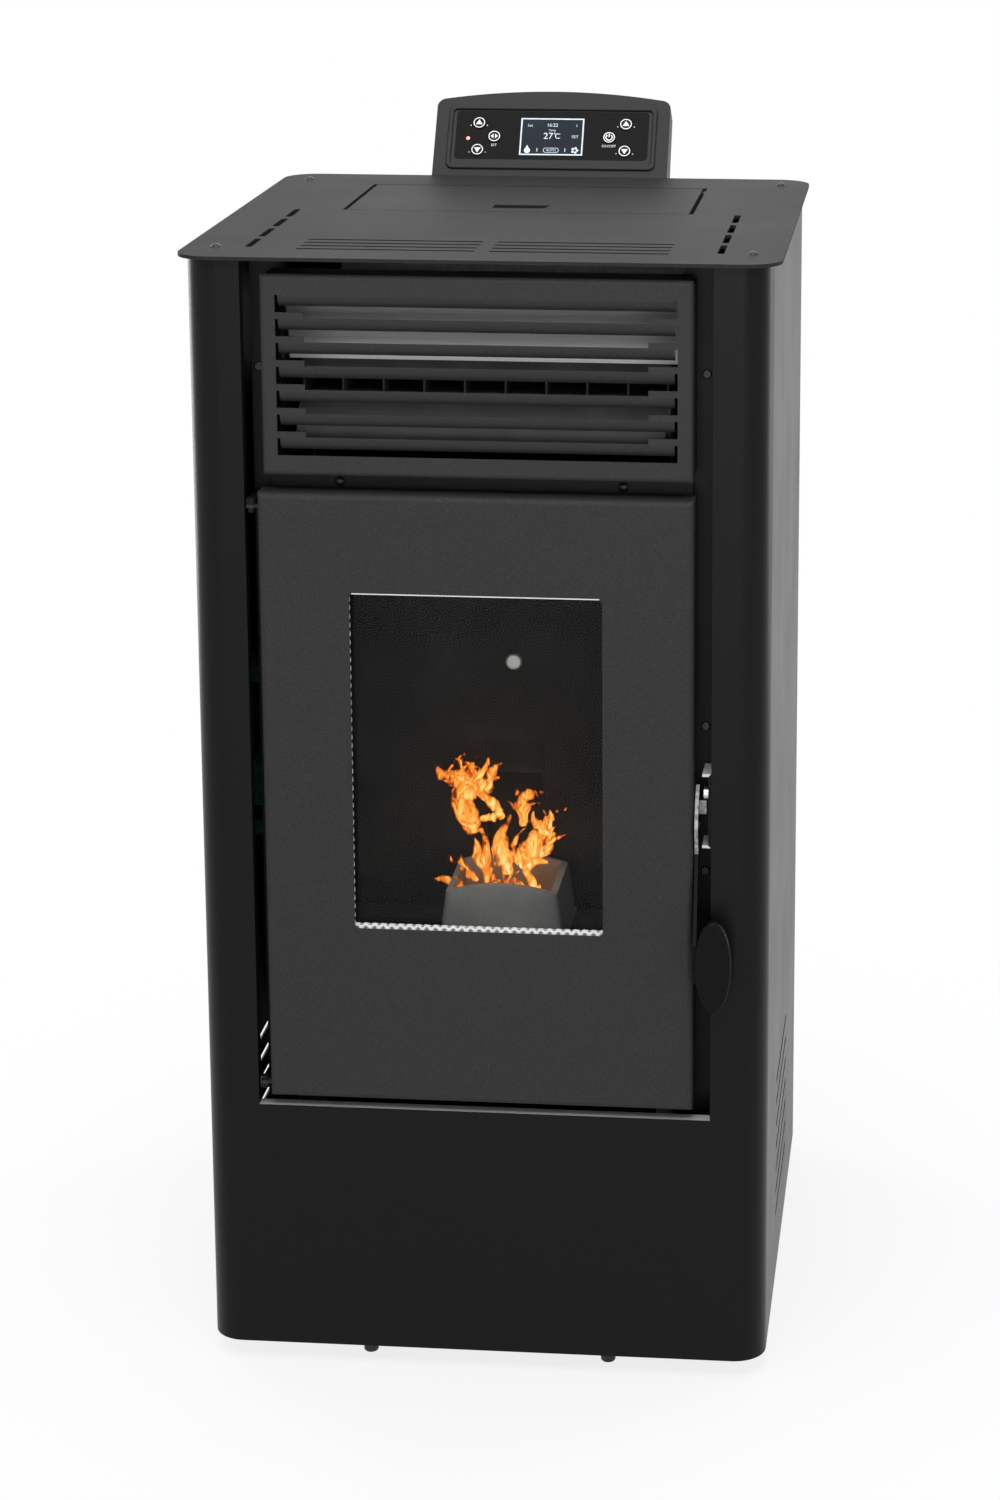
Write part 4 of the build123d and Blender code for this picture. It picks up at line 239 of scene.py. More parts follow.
# ---------------------------------------------------------------- materials
class Paint:
    """A node-based surface: one principled shader with noise for its colour, gloss and grain."""

    def __init__(self, name, color, roughness, metallic=0.0, specular=0.5):
        self.material = bpy.data.materials.new(name)
        self.material.use_nodes = True
        self.tree = self.material.node_tree
        self.shader = self.tree.nodes["Principled BSDF"]
        self.shader.inputs["Base Color"].default_value = (*color, 1.0)
        self.shader.inputs["Roughness"].default_value = roughness
        self.shader.inputs["Metallic"].default_value = metallic
        self.shader.inputs["Specular IOR Level"].default_value = specular
        self.place = self.tree.nodes.new("ShaderNodeTexCoord").outputs["Object"]
        self.normal = None

    def pattern(self, kind, scale, stretch):
        mapping = self.tree.nodes.new("ShaderNodeMapping")
        mapping.inputs["Scale"].default_value = stretch
        self.tree.links.new(self.place, mapping.inputs["Vector"])
        texture = self.tree.nodes.new(kind)
        texture.inputs["Scale"].default_value = scale
        self.tree.links.new(mapping.outputs[0], texture.inputs["Vector"])
        return texture

    def noise(self, scale, detail=3.0, stretch=(1.0, 1.0, 1.0), distortion=0.0):
        texture = self.pattern("ShaderNodeTexNoise", scale, stretch)
        texture.inputs["Detail"].default_value = detail
        texture.inputs["Distortion"].default_value = distortion
        return texture.outputs["Fac"]

    def cells(self, scale):
        return self.pattern("ShaderNodeTexVoronoi", scale, (1.0, 1.0, 1.0)).outputs["Distance"]

    def mesh_value(self, name):
        """What the mesh itself carries at each point under a name."""
        node = self.tree.nodes.new("ShaderNodeAttribute")
        node.attribute_name = name
        return node.outputs["Fac"]

    def ramp(self, value, stops):
        """A colour picked by a value, from stops of position and colour."""
        node = self.tree.nodes.new("ShaderNodeValToRGB")
        node.color_ramp.elements[0].position = stops[0][0]
        node.color_ramp.elements[0].color = (*stops[0][1], 1.0)
        node.color_ramp.elements[1].position = stops[-1][0]
        node.color_ramp.elements[1].color = (*stops[-1][1], 1.0)
        for position, color in stops[1:-1]:
            node.color_ramp.elements.new(position).color = (*color, 1.0)
        self.tree.links.new(value, node.inputs["Fac"])
        return node.outputs["Color"]

    def colored(self, value, stops):
        self.tree.links.new(self.ramp(value, stops), self.shader.inputs["Base Color"])

    def glowing(self, value, stops, strength):
        self.tree.links.new(self.ramp(value, stops), self.shader.inputs["Emission Color"])
        self.shader.inputs["Emission Strength"].default_value = strength

    def glowing_plain(self, color, strength):
        self.shader.inputs["Emission Color"].default_value = (*color, 1.0)
        self.shader.inputs["Emission Strength"].default_value = strength

    def rough(self, value, low, high):
        gloss = map_range(self.tree, value, (0.0, 1.0), (low, high))
        self.tree.links.new(gloss, self.shader.inputs["Roughness"])

    def bump(self, value, depth, strength=1.0):
        """Relief of a depth in metres, laid over any relief that the surface has already."""
        node = self.tree.nodes.new("ShaderNodeBump")
        node.inputs["Distance"].default_value = depth
        node.inputs["Strength"].default_value = strength
        self.tree.links.new(value, node.inputs["Height"])
        if self.normal is not None:
            self.tree.links.new(self.normal, node.inputs["Normal"])
        self.normal = node.outputs["Normal"]
        self.tree.links.new(self.normal, self.shader.inputs["Normal"])

    def on(self, *names):
        """Give the surface to CAD nodes."""
        for name in names:
            slots = nodes[name].data.materials
            slots.clear()
            slots.append(self.material)
            for polygon in nodes[name].data.polygons:
                polygon.material_index = 0


def face_material(name, material, chosen):
    """Give a second material to the faces of a node whose middle and normal pass a test."""
    mesh = nodes[name].data
    mesh.materials.append(material)
    for polygon in mesh.polygons:
        if chosen(polygon.center, polygon.normal):
            polygon.material_index = len(mesh.materials) - 1


def shades(color, spread):
    """Two colour stops a little darker and lighter than a colour."""
    dark = tuple(part * (1.0 - spread) for part in color)
    light = tuple(part * (1.0 + spread) for part in color)
    return [(0.3, dark), (0.7, light)]


def powder_coat(name, color, roughness, grain, specular):
    """Powder paint: pinhead grain, a faint cloud in its colour and gloss."""
    paint = Paint(name, color, roughness, specular=specular)
    paint.colored(paint.noise(grain * 0.6, 4.0), shades(color, 0.16))
    paint.rough(paint.noise(9.0, 2.0), roughness - 0.05, roughness + 0.06)
    paint.bump(paint.noise(grain, 3.0), 0.00012, 0.55)
    return paint


def cabinet_paint():
    return powder_coat("cabinet_paint", (0.0055, 0.0055, 0.006), 0.36, 900.0, 0.12)


def top_paint():
    return powder_coat("top_paint", (0.028, 0.028, 0.0285), 0.6, 900.0, 0.03)


def grille_paint():
    return powder_coat("grille_paint", (0.034, 0.034, 0.0345), 0.5, 900.0, 0.12)


def door_paint():
    """Heat-proof coat: coarser, with pale specks."""
    color = (0.034, 0.034, 0.035)
    paint = Paint("door_paint", color, 0.55, specular=0.12)
    specks = paint.noise(1300.0, 2.0)
    paint.colored(specks, [(0.3, (0.025, 0.025, 0.026)), (0.6, color), (0.76, (0.085, 0.085, 0.088))])
    paint.rough(paint.noise(7.0, 2.0), 0.5, 0.62)
    paint.bump(paint.noise(700.0, 3.0), 0.0002, 0.6)
    return paint


def black_metal():
    paint = Paint("black_metal", (0.004, 0.004, 0.0045), 0.36, specular=0.08)
    paint.rough(paint.noise(40.0, 3.0), 0.28, 0.42)
    paint.bump(paint.noise(1200.0, 2.0), 0.00008, 0.4)
    return paint


def bare_steel():
    """Bright sheet, brushed along X, with faint rolling marks."""
    metal = Paint("bare_steel", (0.6, 0.6, 0.59), 0.32, metallic=1.0)
    streaks = metal.noise(60.0, 4.0, stretch=(0.15, 8.0, 14.0))
    metal.colored(streaks, [(0.2, (0.42, 0.42, 0.42)), (0.8, (0.72, 0.72, 0.71))])
    metal.rough(metal.noise(50.0, 3.0, stretch=(0.3, 5.0, 9.0)), 0.24, 0.42)
    metal.bump(metal.noise(160.0, 2.0, stretch=(0.1, 6.0, 10.0)), 0.00006, 0.4)
    return metal


def deflector_steel():
    """Uncoated sheet that catches the room's light through the louvres."""
    metal = Paint("deflector_steel", (0.72, 0.72, 0.71), 0.45, metallic=0.35)
    streaks = metal.noise(50.0, 4.0, stretch=(0.1, 6.0, 10.0))
    metal.colored(streaks, [(0.2, (0.6, 0.6, 0.6)), (0.8, (0.85, 0.85, 0.84))])
    metal.rough(metal.noise(40.0, 3.0, stretch=(0.3, 5.0, 9.0)), 0.35, 0.5)
    return metal


def galvanised_steel():
    """Zinc-coated sheet with its spangle."""
    metal = Paint("galvanised_steel", (0.5, 0.5, 0.5), 0.42, metallic=0.9)
    spangle = metal.cells(260.0)
    metal.colored(spangle, [(0.1, (0.46, 0.465, 0.47)), (0.9, (0.6, 0.6, 0.6))])
    metal.rough(spangle, 0.34, 0.52)
    metal.bump(metal.noise(500.0, 2.0), 0.00006, 0.3)
    return metal


def sooty_steel():
    """The inside of the firebox: heat-proof black under a film of soot and ash."""
    color = (0.022, 0.021, 0.021)
    metal = Paint("sooty_steel", color, 0.85, specular=0.25)
    film = metal.noise(14.0, 5.0, distortion=0.4)
    metal.colored(film, [(0.3, (0.013, 0.013, 0.013)), (0.55, color), (0.8, (0.036, 0.034, 0.032))])
    metal.bump(metal.noise(160.0, 3.0), 0.00012, 0.3)
    return metal


def duct_steel():
    metal = Paint("duct_steel", (0.03, 0.03, 0.031), 0.6, specular=0.35)
    metal.colored(metal.noise(30.0, 3.0), shades((0.028, 0.028, 0.029), 0.3))
    metal.bump(metal.noise(900.0, 2.0), 0.0001, 0.4)
    return metal


def cast_iron():
    """Rough casting, ash-grey where it is hottest."""
    metal = Paint("cast_iron", (0.38, 0.38, 0.37), 0.78, specular=0.3)
    patches = metal.noise(30.0, 5.0)
    metal.colored(patches, [(0.3, (0.31, 0.31, 0.31)), (0.7, (0.44, 0.436, 0.425))])
    metal.bump(metal.noise(380.0, 4.0), 0.0005, 0.7)
    metal.bump(metal.noise(60.0, 3.0), 0.0008, 0.4)
    return metal


def screw_steel():
    metal = Paint("screw_steel", (0.03, 0.03, 0.032), 0.38, metallic=0.7)
    metal.colored(metal.noise(300.0, 3.0), shades((0.03, 0.03, 0.032), 0.35))
    metal.bump(metal.noise(900.0, 2.0), 0.00005, 0.4)
    return metal


def housing_plastic():
    """Moulded plastic with a spark-eroded grain."""
    color = (0.013, 0.013, 0.0135)
    plastic = Paint("housing_plastic", color, 0.46, specular=0.22)
    plastic.colored(plastic.noise(600.0, 2.0), shades(color, 0.12))
    plastic.rough(plastic.noise(12.0, 2.0), 0.42, 0.52)
    plastic.bump(plastic.cells(1500.0), 0.00006, 0.35)
    return plastic


def label_film():
    plastic = Paint("label_film", (0.004, 0.004, 0.0045), 0.24, specular=0.06)
    plastic.rough(plastic.noise(25.0, 2.0), 0.2, 0.3)
    plastic.bump(plastic.noise(60.0, 2.0), 0.00003, 0.3)
    return plastic


def key_plastic():
    plastic = Paint("key_plastic", (0.005, 0.005, 0.0055), 0.34, specular=0.1)
    plastic.rough(plastic.noise(200.0, 2.0), 0.3, 0.4)
    plastic.bump(plastic.noise(900.0, 2.0), 0.00003, 0.3)
    return plastic


def motor_paint():
    paint = Paint("motor_paint", (0.1, 0.1, 0.105), 0.4, metallic=0.3)
    paint.colored(paint.noise(80.0, 3.0), shades((0.1, 0.1, 0.105), 0.2))
    paint.bump(paint.noise(700.0, 2.0), 0.00008, 0.4)
    return paint


def circuit_board():
    board = Paint("circuit_board", (0.01, 0.09, 0.035), 0.35)
    board.colored(board.cells(260.0), [(0.3, (0.008, 0.07, 0.028)), (0.6, (0.02, 0.13, 0.05))])
    board.bump(board.cells(420.0), 0.0001, 0.5)
    return board


def rope_fibre(name, dark, light):
    """Braided glass fibre: fine hairs over the modelled strands, with painted shade that darkens the valleys
    between the strands.
    """
    rope = Paint(name, light, 0.6, specular=0.5)
    hairs_and_shade = maths(rope.tree, "MULTIPLY", rope.mesh_value("strand_shade"), rope.noise(1400.0, 4.0))
    rope.colored(hairs_and_shade, [(0.08, dark), (0.34, light)])
    rope.bump(rope.noise(2200.0, 3.0), 0.00015, 0.7)
    return rope


def stove_glass():
    """Clear ceramic glass with a faint smoky film that lets the lamps' light through to the firebox."""
    glass = Paint("stove_glass", (0.93, 0.94, 0.93), 0.0, specular=0.4)
    glass.colored(glass.noise(6.0, 3.0), [(0.3, (0.86, 0.87, 0.86)), (0.7, (0.96, 0.97, 0.96))])
    glass.shader.inputs["Transmission Weight"].default_value = 1.0
    glass.shader.inputs["IOR"].default_value = 1.15
    tree = glass.tree
    clear = tree.nodes.new("ShaderNodeBsdfTransparent")
    clear.inputs["Color"].default_value = (0.9, 0.9, 0.9, 1.0)
    lighting = any_ray(tree, "Is Shadow Ray", "Is Diffuse Ray")
    tree.links.new(blend(tree, lighting, glass.shader.outputs[0], clear.outputs[0]),
                   tree.nodes["Material Output"].inputs["Surface"])
    return glass


def screen_glass():
    """The lit display: dark blue-grey, a little uneven."""
    screen = Paint("screen_glass", (0.006, 0.008, 0.011), 0.18, specular=0.06)
    screen.glowing(screen.noise(30.0, 1.0), [(0.3, (0.008, 0.011, 0.016)), (0.7, (0.016, 0.02, 0.028))], 1.0)
    return screen


def printed_ink(name, color, strength):
    # On the keys and the label this ink's glow is painted light, as they hold no lamp; on the lit display it
    # is the screen's own light.
    ink = Paint(name, color, 0.5)
    ink.colored(ink.noise(900.0, 2.0), shades(color, 0.08))
    ink.glowing_plain(color, strength)
    return ink


def flame_gas():
    """Glowing gas: the mesh carries how hot each point is, and fine streaks break it up."""
    gas = Paint("flame_gas", (0.0, 0.0, 0.0), 1.0, specular=0.0)
    tree = gas.tree
    streaks = maths(tree, "MULTIPLY", gas.noise(120.0, 4.0, stretch=(1.0, 1.0, 0.4), distortion=1.4), 2.6)
    heat = maths(tree, "SUBTRACT", gas.mesh_value("glow"), 1.8)
    burning = maths(tree, "ADD", streaks, heat)
    gas.glowing(burning, [
        (0.0, (0.42, 0.035, 0.0)),
        (0.2, (0.85, 0.16, 0.009)),
        (0.45, (0.98, 0.34, 0.038)),
        (0.72, (1.0, 0.58, 0.14)),
        (1.0, (1.0, 0.84, 0.45)),
    ], flame_strength)
    tree.links.new(map_range(tree, burning, (0.0, 0.45), (0.0, 1.0)), gas.shader.inputs["Alpha"])
    return gas


def bare_metal_and_highlight():
    """A bright, slightly ragged metal colour: painted highlight on the edges that get it, and the metal of
    the fireback's bolt.
    """
    metal = Paint("bare_metal_and_highlight", (0.62, 0.62, 0.62), 0.4, metallic=0.3)
    metal.colored(metal.noise(1500.0, 3.0), [(0.3, (0.55, 0.55, 0.55)), (0.7, (0.75, 0.75, 0.75))])
    metal.rough(metal.noise(200.0, 2.0), 0.35, 0.5)
    return metal.material


def lever_edge_highlight():
    """The lever's front edge by the catch: a painted highlight in mottled grey."""
    metal = Paint("lever_edge_highlight", (0.3, 0.3, 0.3), 0.42, metallic=0.3)
    metal.colored(metal.noise(260.0, 4.0), [(0.3, (0.12, 0.12, 0.12)), (0.7, (0.42, 0.42, 0.42))])
    metal.rough(metal.noise(300.0, 2.0), 0.35, 0.5)
    return metal.material


def window_top():
    """A test for the faces of the door frame that are the cut edge above the window."""
    low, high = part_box("door_glass")
    front_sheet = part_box("door_frame")[0].y + window_sheet_depth

    def test(middle, normal):
        between = low.x < middle.x < high.x and high.z - window_edge_reach < middle.z < high.z
        return between and normal.z < -0.9 and middle.y < front_sheet

    return test


def opening_lip():
    """A test for the faces of the cabinet that are the top of the opening's lower lip."""
    lip_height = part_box("door_frame")[0].z - lip_below_door

    def test(middle, normal):
        in_front = middle.y < lip_front and abs(middle.x) < lip_half_width
        return in_front and normal.z > 0.9 and abs(middle.z - lip_height) < lip_reach

    return test


def catch_flanges():
    """A test for the faces of the catch bracket that are the tops and ends of its two flanges."""
    low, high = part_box("catch_bracket")

    def test(middle, normal):
        end = min(middle.z - low.z, high.z - middle.z)
        return normal.z > 0.8 or (normal.y < -0.8 and end < flange_end_reach)

    return test


def paint_highlights_and_bolt():
    """The edges that get a painted highlight, and the bolt on the fireback in bright metal."""
    edge = bare_metal_and_highlight()
    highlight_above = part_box("door_lever")[1].z - lever_highlight_length
    bolt_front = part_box("fireback_plate")[1].y - fireback_bolt_base
    # Painted highlight along the top of the opening's lower lip.
    face_material("cabinet_shell", edge, opening_lip())
    # The cut faces above the window get the bright colour too, as painted highlight.
    face_material("door_frame", edge, window_top())
    # Painted highlight on the lever's front edge near its top.
    face_material("door_lever", lever_edge_highlight(),
                  lambda middle, normal: normal.y < -0.5 and middle.z > highlight_above)
    # Painted highlight on the tops and front ends of the catch's flanges.
    face_material("catch_bracket", edge, catch_flanges())
    face_material("fireback_plate", edge, lambda middle, normal: middle.y < bolt_front)


def paint_nodes():
    cabinet_paint().on(
        "cabinet_shell", "rear_panel", "base_plate", "cross_rail", "catch_bracket", "front_post_left",
        "front_post_right", "hinge_bracket_top", "hinge_bracket_bottom", "firebox_stand")
    top_paint().on("top_plate", "hopper_lid")
    grille_paint().on("air_outlet_grille")
    door_paint().on("door_frame")
    black_metal().on("door_knob", "door_lever")
    deflector_steel().on("upper_deflector")
    bare_steel().on("catch_roller", "glass_clips", "auger_screw", "exhaust_impeller")
    galvanised_steel().on(
        "hopper", "auger_tube", "flue_collar", "air_inlet_pipe", "exhaust_manifold",
        "convection_blower_housing", "convection_drum", "exhaust_blower_housing", "igniter")
    duct_steel().on("air_duct", "ash_drawer")
    sooty_steel().on("firebox", "fireback_plate", "burn_pot_holder", "drop_chute")
    cast_iron().on("burn_pot")
    stove_glass().on("door_glass")
    screw_steel().on(
        "dome_screws", "casing_screws", "levelling_foot_front_left", "levelling_foot_front_right",
        "levelling_foot_rear_left", "levelling_foot_rear_right")
    housing_plastic().on("control_housing", "power_inlet")
    label_film().on("control_label")
    key_plastic().on("key_left_up", "key_set", "key_left_down", "key_right_up", "key_power", "key_right_down")
    screen_glass().on("lcd_screen")
    motor_paint().on("auger_motor", "exhaust_motor", "convection_motor")
    circuit_board().on("control_board")
    paint_highlights_and_bolt()


# ---------------------------------------------------------------- mesh helpers
def place_piece(name, mesh, body):
    """An extra piece of the visual model, which rides on a body."""
    piece = bpy.data.objects.new(name, mesh)
    bpy.context.scene.collection.objects.link(piece)
    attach(piece, body)
    return piece


def piece_from(name, points, faces, material, body, smooth=True):
    """An extra piece made from points and faces, with one material."""
    mesh = bpy.data.meshes.new(name)
    mesh.from_pydata([tuple(point) for point in points], [], faces)
    mesh.validate()
    for polygon in mesh.polygons:
        polygon.use_smooth = smooth
    mesh.materials.append(material)
    return place_piece(name, mesh, body)


def rounded_loop(low, high, radius, step):
    """Points round a rectangle with round corners in the XZ plane, evenly spaced, as (x, z)."""
    corners = [
        (high[0] - radius, high[1] - radius, 0.0), (low[0] + radius, high[1] - radius, 90.0),
        (low[0] + radius, low[1] + radius, 180.0), (high[0] - radius, low[1] + radius, 270.0)]
    outline = []
    for x, z, start in corners:
        for part in range(corner_steps + 1):
            angle = math.radians(start + 90.0 * part / corner_steps)
            outline.append(Vector((x + radius * math.cos(angle), z + radius * math.sin(angle))))
    outline.append(outline[0])
    loop = []
    carried = 0.0
    for first, second in zip(outline, outline[1:]):
        span = (second - first).length
        while carried < span:
            loop.append(first.lerp(second, carried / span))
            carried += step
        carried -= span
    return loop


def braided_rope(name, node, section, corner, material, body, lift=0.0):
    """A braided rope laid round a rectangle, in place of a CAD seal; its lower run may be lifted."""
    low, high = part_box(node)
    low.z += lift
    half_width, half_depth = section[0] / 2, section[1] / 2
    middle_y = (low.y + high.y) / 2
    path = rounded_loop((low.x + half_width, low.z + half_width), (high.x - half_width, high.z - half_width),
                        corner, rope_step)
    count = len(path)
    around = rope_round
    turns = round(count * rope_step / rope_strand_pitch)
    points, faces, strand_shade_values = [], [], []
    for index, centre in enumerate(path):
        ahead = path[(index + 1) % count] - path[index - 1]
        outward = Vector((ahead.y, -ahead.x)).normalized()
        travel = index / count * turns * 2 * math.pi
        for part in range(around):
            angle = 2 * math.pi * part / around
            lean = rope_strands * angle / 2
            weave = max(math.sin(lean + travel), math.sin(lean - travel))
            swell = 1.0 - rope_relief / half_width * (1.0 - weave) * 1.2
            side = half_width * swell * math.cos(angle)
            depth = half_depth * swell * math.sin(angle)
            points.append((centre.x + outward.x * side, middle_y + depth, centre.y + outward.y * side))
            # How high each point lies on the braid's strands; the rope's colour uses it as painted shade in
            # the valleys between them.
            strand_shade_values.append(min(1.0, max(0.0, 0.15 + 1.3 * weave)))
    for index in range(count):
        following = (index + 1) % count
        for part in range(around):
            after = (part + 1) % around
            faces.append((index * around + part, following * around + part,
                          following * around + after, index * around + after))
    piece = piece_from(name, points, faces, material, body)
    piece.data.attributes.new("strand_shade", "FLOAT", "POINT").data.foreach_set("value", strand_shade_values)
    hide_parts(node)


def make_ropes():
    gasket_fibre = rope_fibre("gasket_fibre", (0.2, 0.2, 0.2), (0.85, 0.85, 0.85)).material
    braided_rope("glass_gasket_braid", "glass_gasket", (0.009, 0.008), 0.004, gasket_fibre, "door",
                 gasket_lift)
    seal_fibre = rope_fibre("seal_fibre", (0.1, 0.1, 0.1), (0.3, 0.3, 0.3)).material
    braided_rope("door_seal_braid", "door_rope_seal", (0.0097, 0.011), 0.008, seal_fibre, "door")


# ---------------------------------------------------------------- fire
def flame_tongue(name, root, tip, width, bow, depth, heat, material):
    """One sheet of flame: a lens-thin ribbon that swells in the middle, sways and ends in a point."""
    steps, around = flame_steps, flame_round
    root, tip = Vector((root[0], 0.0, root[1])), Vector((tip[0], 0.0, tip[1]))
    along = tip - root
    side = Vector((-along.z, 0.0, along.x)).normalized()
    sway = random.uniform(0.0, 6.28)
    points, faces, heats = [], [], []
    for step in range(steps + 1):
        share = step / steps
        centre = root + along * share + side * bow * math.sin(math.pi * share)
        centre += side * width * 0.22 * math.sin(sway + share * 9.0) * share
        centre.y = depth + 0.3 * width * math.sin(sway + share * 5.0)
        swell = math.sin(math.pi * min(1.0, 0.16 + share * 0.84)) ** 0.75
        ragged = 1.0 + 0.35 * noise.noise(Vector((share * 5.0, sway, 0.3)))
        half = max(0.0002, width / 2 * swell * ragged)
        for part in range(around):
            angle = 2 * math.pi * part / around
            across = math.cos(angle)
            point = centre + side * half * across
            point.y += half * 0.28 * math.sin(angle)
            points.append(point)
            edge = 1.0 - abs(across)
            heats.append(heat * (0.42 + 0.75 * edge ** 0.6) * (1.0 - 0.45 * share ** 2))
    for step in range(steps):
        for part in range(around):
            after = (part + 1) % around
            first, second = step * around, (step + 1) * around
            faces.append((first + part, first + after, second + after, second + part))
    piece = piece_from(name, points, faces, material, "pot")
    piece.data.attributes.new("glow", "FLOAT", "POINT").data.foreach_set("value", heats)


def flame_licks(name, root, tip, width, depth, heat, material):
    """Two thin licks that part from a tongue of flame, one on each side."""
    root, tip = Vector(root), Vector(tip)
    along = tip - root
    side = Vector((-along.y, along.x)).normalized()
    for number, turn in enumerate((-1, 1)):
        start = root + along * random.uniform(0.05, 0.5) + side * turn * width * 0.25
        end = start + along * random.uniform(0.4, 0.65) + side * turn * width * random.uniform(0.3, 0.9)
        flame_tongue(f"{name}_lick_{number}", start, end, width * 0.36, -turn * width * 0.25,
                     depth + turn * width * 0.3, heat, material)


def make_fire():
    """Tongues in millimetres: root x, z, tip x, z, width, bow to the left of travel; then heat."""
    tongues = [
        (-34, 470, -64, 497, 13, -3, 0.95), (-36, 468, -2, 504, 12, -4, 0.95),
        (-33, 466, -38, 505, 15, 1, 0.85),
        (-30, 430, -42, 490, 15, 3, 1.05), (-4, 446, -33, 486, 8, -2, 1.1), (-26, 440, -3, 452, 6, -2, 1.1),
        (-18, 388, -28, 446, 7, -4, 1.0), (-14, 391, -33, 428, 8, 3, 1.0), (-28, 386, -51, 411, 8, 2, 0.85),
        (-28, 381, -63, 396, 9, 3, 0.8), (-36, 428, -46, 446, 2, 1, 0.7), (1, 396, 0, 453, 12, 3, 1.1),
        (9, 400, 44, 437, 17, 5, 1.15), (18, 402, 43, 440, 10, -3, 1.1), (16, 444, 12, 482, 8, -2, 1.0),
        (10, 464, 39, 475, 8, 5, 0.95), (19, 455, 0, 462, 5, 1, 0.85), (37, 436, 26, 460, 9, 3, 1.05),
        (38, 438, 39, 459, 4, -1, 0.95), (44, 452, 46, 463, 3, -1, 0.5), (43, 452, 54, 457, 3, -2, 0.5),
        (25, 378, 12, 413, 6, -3, 1.2), (1, 390, 13, 401, 3, 3, 1.0), (21, 381, 1, 385, 7, 2, 0.9),
        (29, 377, 28, 389, 5, 0, 1.3), (34, 377, 33, 384, 4, 0, 1.25), (24, 378, 22, 386, 4, 0, 1.2),
        (-13, 396, -8, 438, 4, 2, 0.6), (-12, 380, -16, 400, 9, 2, 0.75), (-2, 380, 4, 396, 8, -2, 0.75),
    ]
    gas = flame_gas().material
    for number, (x, z, tip_x, tip_z, width, bow, heat) in enumerate(tongues):
        name = f"flame_{number:02d}"
        depth = flame_depth + random.uniform(-flame_spread, flame_spread)
        root, tip = (x / 1000, z / 1000), (tip_x / 1000, tip_z / 1000)
        full_width = flame_fullness * width / 1000
        flame_tongue(name, root, tip, full_width, bow / 1000, depth, heat, gas)
        if width >= lick_least_width:
            flame_licks(name, root, tip, full_width, depth, heat, gas)


def charred_pellet():
    """Dark char with a few spots of ember."""
    char = Paint("charred_pellet", (0.03, 0.02, 0.014), 0.9, specular=0.2)
    char.glowing(char.noise(120.0, 3.0), [(0.5, (0.0, 0.0, 0.0)), (0.66, (1.0, 0.16, 0.01))], 0.8)
    char.colored(char.noise(260.0, 3.0), [(0.3, (0.015, 0.012, 0.01)), (0.7, (0.09, 0.06, 0.04))])
    return char.material


def make_pellet_bed():
    """Wood pellets in the pot, charred below the fire."""
    bed_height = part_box("burn_pot")[0].z + bed_base
    around = pellet_round
    points, faces = [], []
    for _ in range(pellet_count):
        length = random.uniform(*pellet_length)
        centre = Vector((random.uniform(*bed_x), random.uniform(*bed_y), bed_height))
        centre.z += random.uniform(0.0, bed_depth)
        turn = Matrix.Rotation(random.uniform(0, math.pi), 3, "Z")
        turn = turn @ Matrix.Rotation(random.uniform(-0.5, 0.5), 3, "Y")
        first = len(points)
        for end in (-1, 1):
            for ring_radius, reach in ((pellet_radius, 0.42), (pellet_radius * 0.8, 0.5)):
                for part in range(around):
                    angle = 2 * math.pi * part / around
                    across = (ring_radius * math.cos(angle), ring_radius * math.sin(angle))
                    points.append(centre + turn @ Vector((end * reach * length, *across)))
        rings = [first + around, first, first + 2 * around, first + 3 * around]
        for start, following in zip(rings, rings[1:]):
            for part in range(around):
                after = (part + 1) % around
                faces.append((start + part, start + after, following + after, following + part))
        faces.append(tuple(range(first + 2 * around - 1, first + around - 1, -1)))
        faces.append(tuple(range(first + 3 * around, first + 4 * around)))
    piece_from("pellet_bed", points, faces, charred_pellet(), "pot")


def make_window_top_highlight():
    """A painted highlight: a bright strip on the door's front along the top of the window's cut-out."""
    mesh = nodes["door_frame"].data
    is_cut = window_top()
    cut = [polygon for polygon in mesh.polygons if is_cut(polygon.center, polygon.normal)]
    edge = [mesh.vertices[corner].co for polygon in cut for corner in polygon.vertices]
    left, right = min(point.x for point in edge), max(point.x for point in edge)
    front, height = min(point.y for point in edge) - highlight_rise, min(point.z for point in edge)
    outline = [(left, front, height), (right, front, height), (right, front, height + highlight_height),
               (left, front, height + highlight_height)]
    piece_from("window_top_painted_highlight", outline, [(0, 1, 2, 3)], bare_metal_and_highlight(), "door", smooth=False)


# ---------------------------------------------------------------- control panel
panel_tilt = math.radians(35.0)
print_rise = 0.04           # millimetres that printed ink stands above the face below it
ring_outer, ring_inner = 5.6, 4.7   # the radii of the ring on a key, in millimetres
power_outer, power_inner = 3.6, 2.5
power_points = 20           # points along the open ring of the power sign
lens_points = 16            # points round the status light
sides = {"left": -1, "right": 1}
panel_across = Vector((1.0, 0.0, 0.0))
panel_up = Vector((0.0, math.sin(panel_tilt), math.cos(panel_tilt)))
panel_out = Vector((0.0, -math.cos(panel_tilt), math.sin(panel_tilt)))


def panel_span(node, direction):
    """How far a node reaches along one direction of the panel."""
    shape = nodes[node]
    reach = [(shape.matrix_world @ vertex.co).dot(direction) for vertex in shape.data.vertices]
    return min(reach), max(reach)


def on_face(node, face_node=None):
    """The middle of a node on its own outer face, or on the outer face of another node."""
    across = sum(panel_span(node, panel_across)) / 2
    up = sum(panel_span(node, panel_up)) / 2
    out = panel_span(face_node or node, panel_out)[1]
    return panel_across * across + panel_up * up + panel_out * out


def panel_point(origin, x, y, rise=print_rise):
    """A point on the sloping panel, in millimetres from an origin on it."""
    return origin + panel_across * x / 1000 + panel_up * y / 1000 + panel_out * rise / 1000


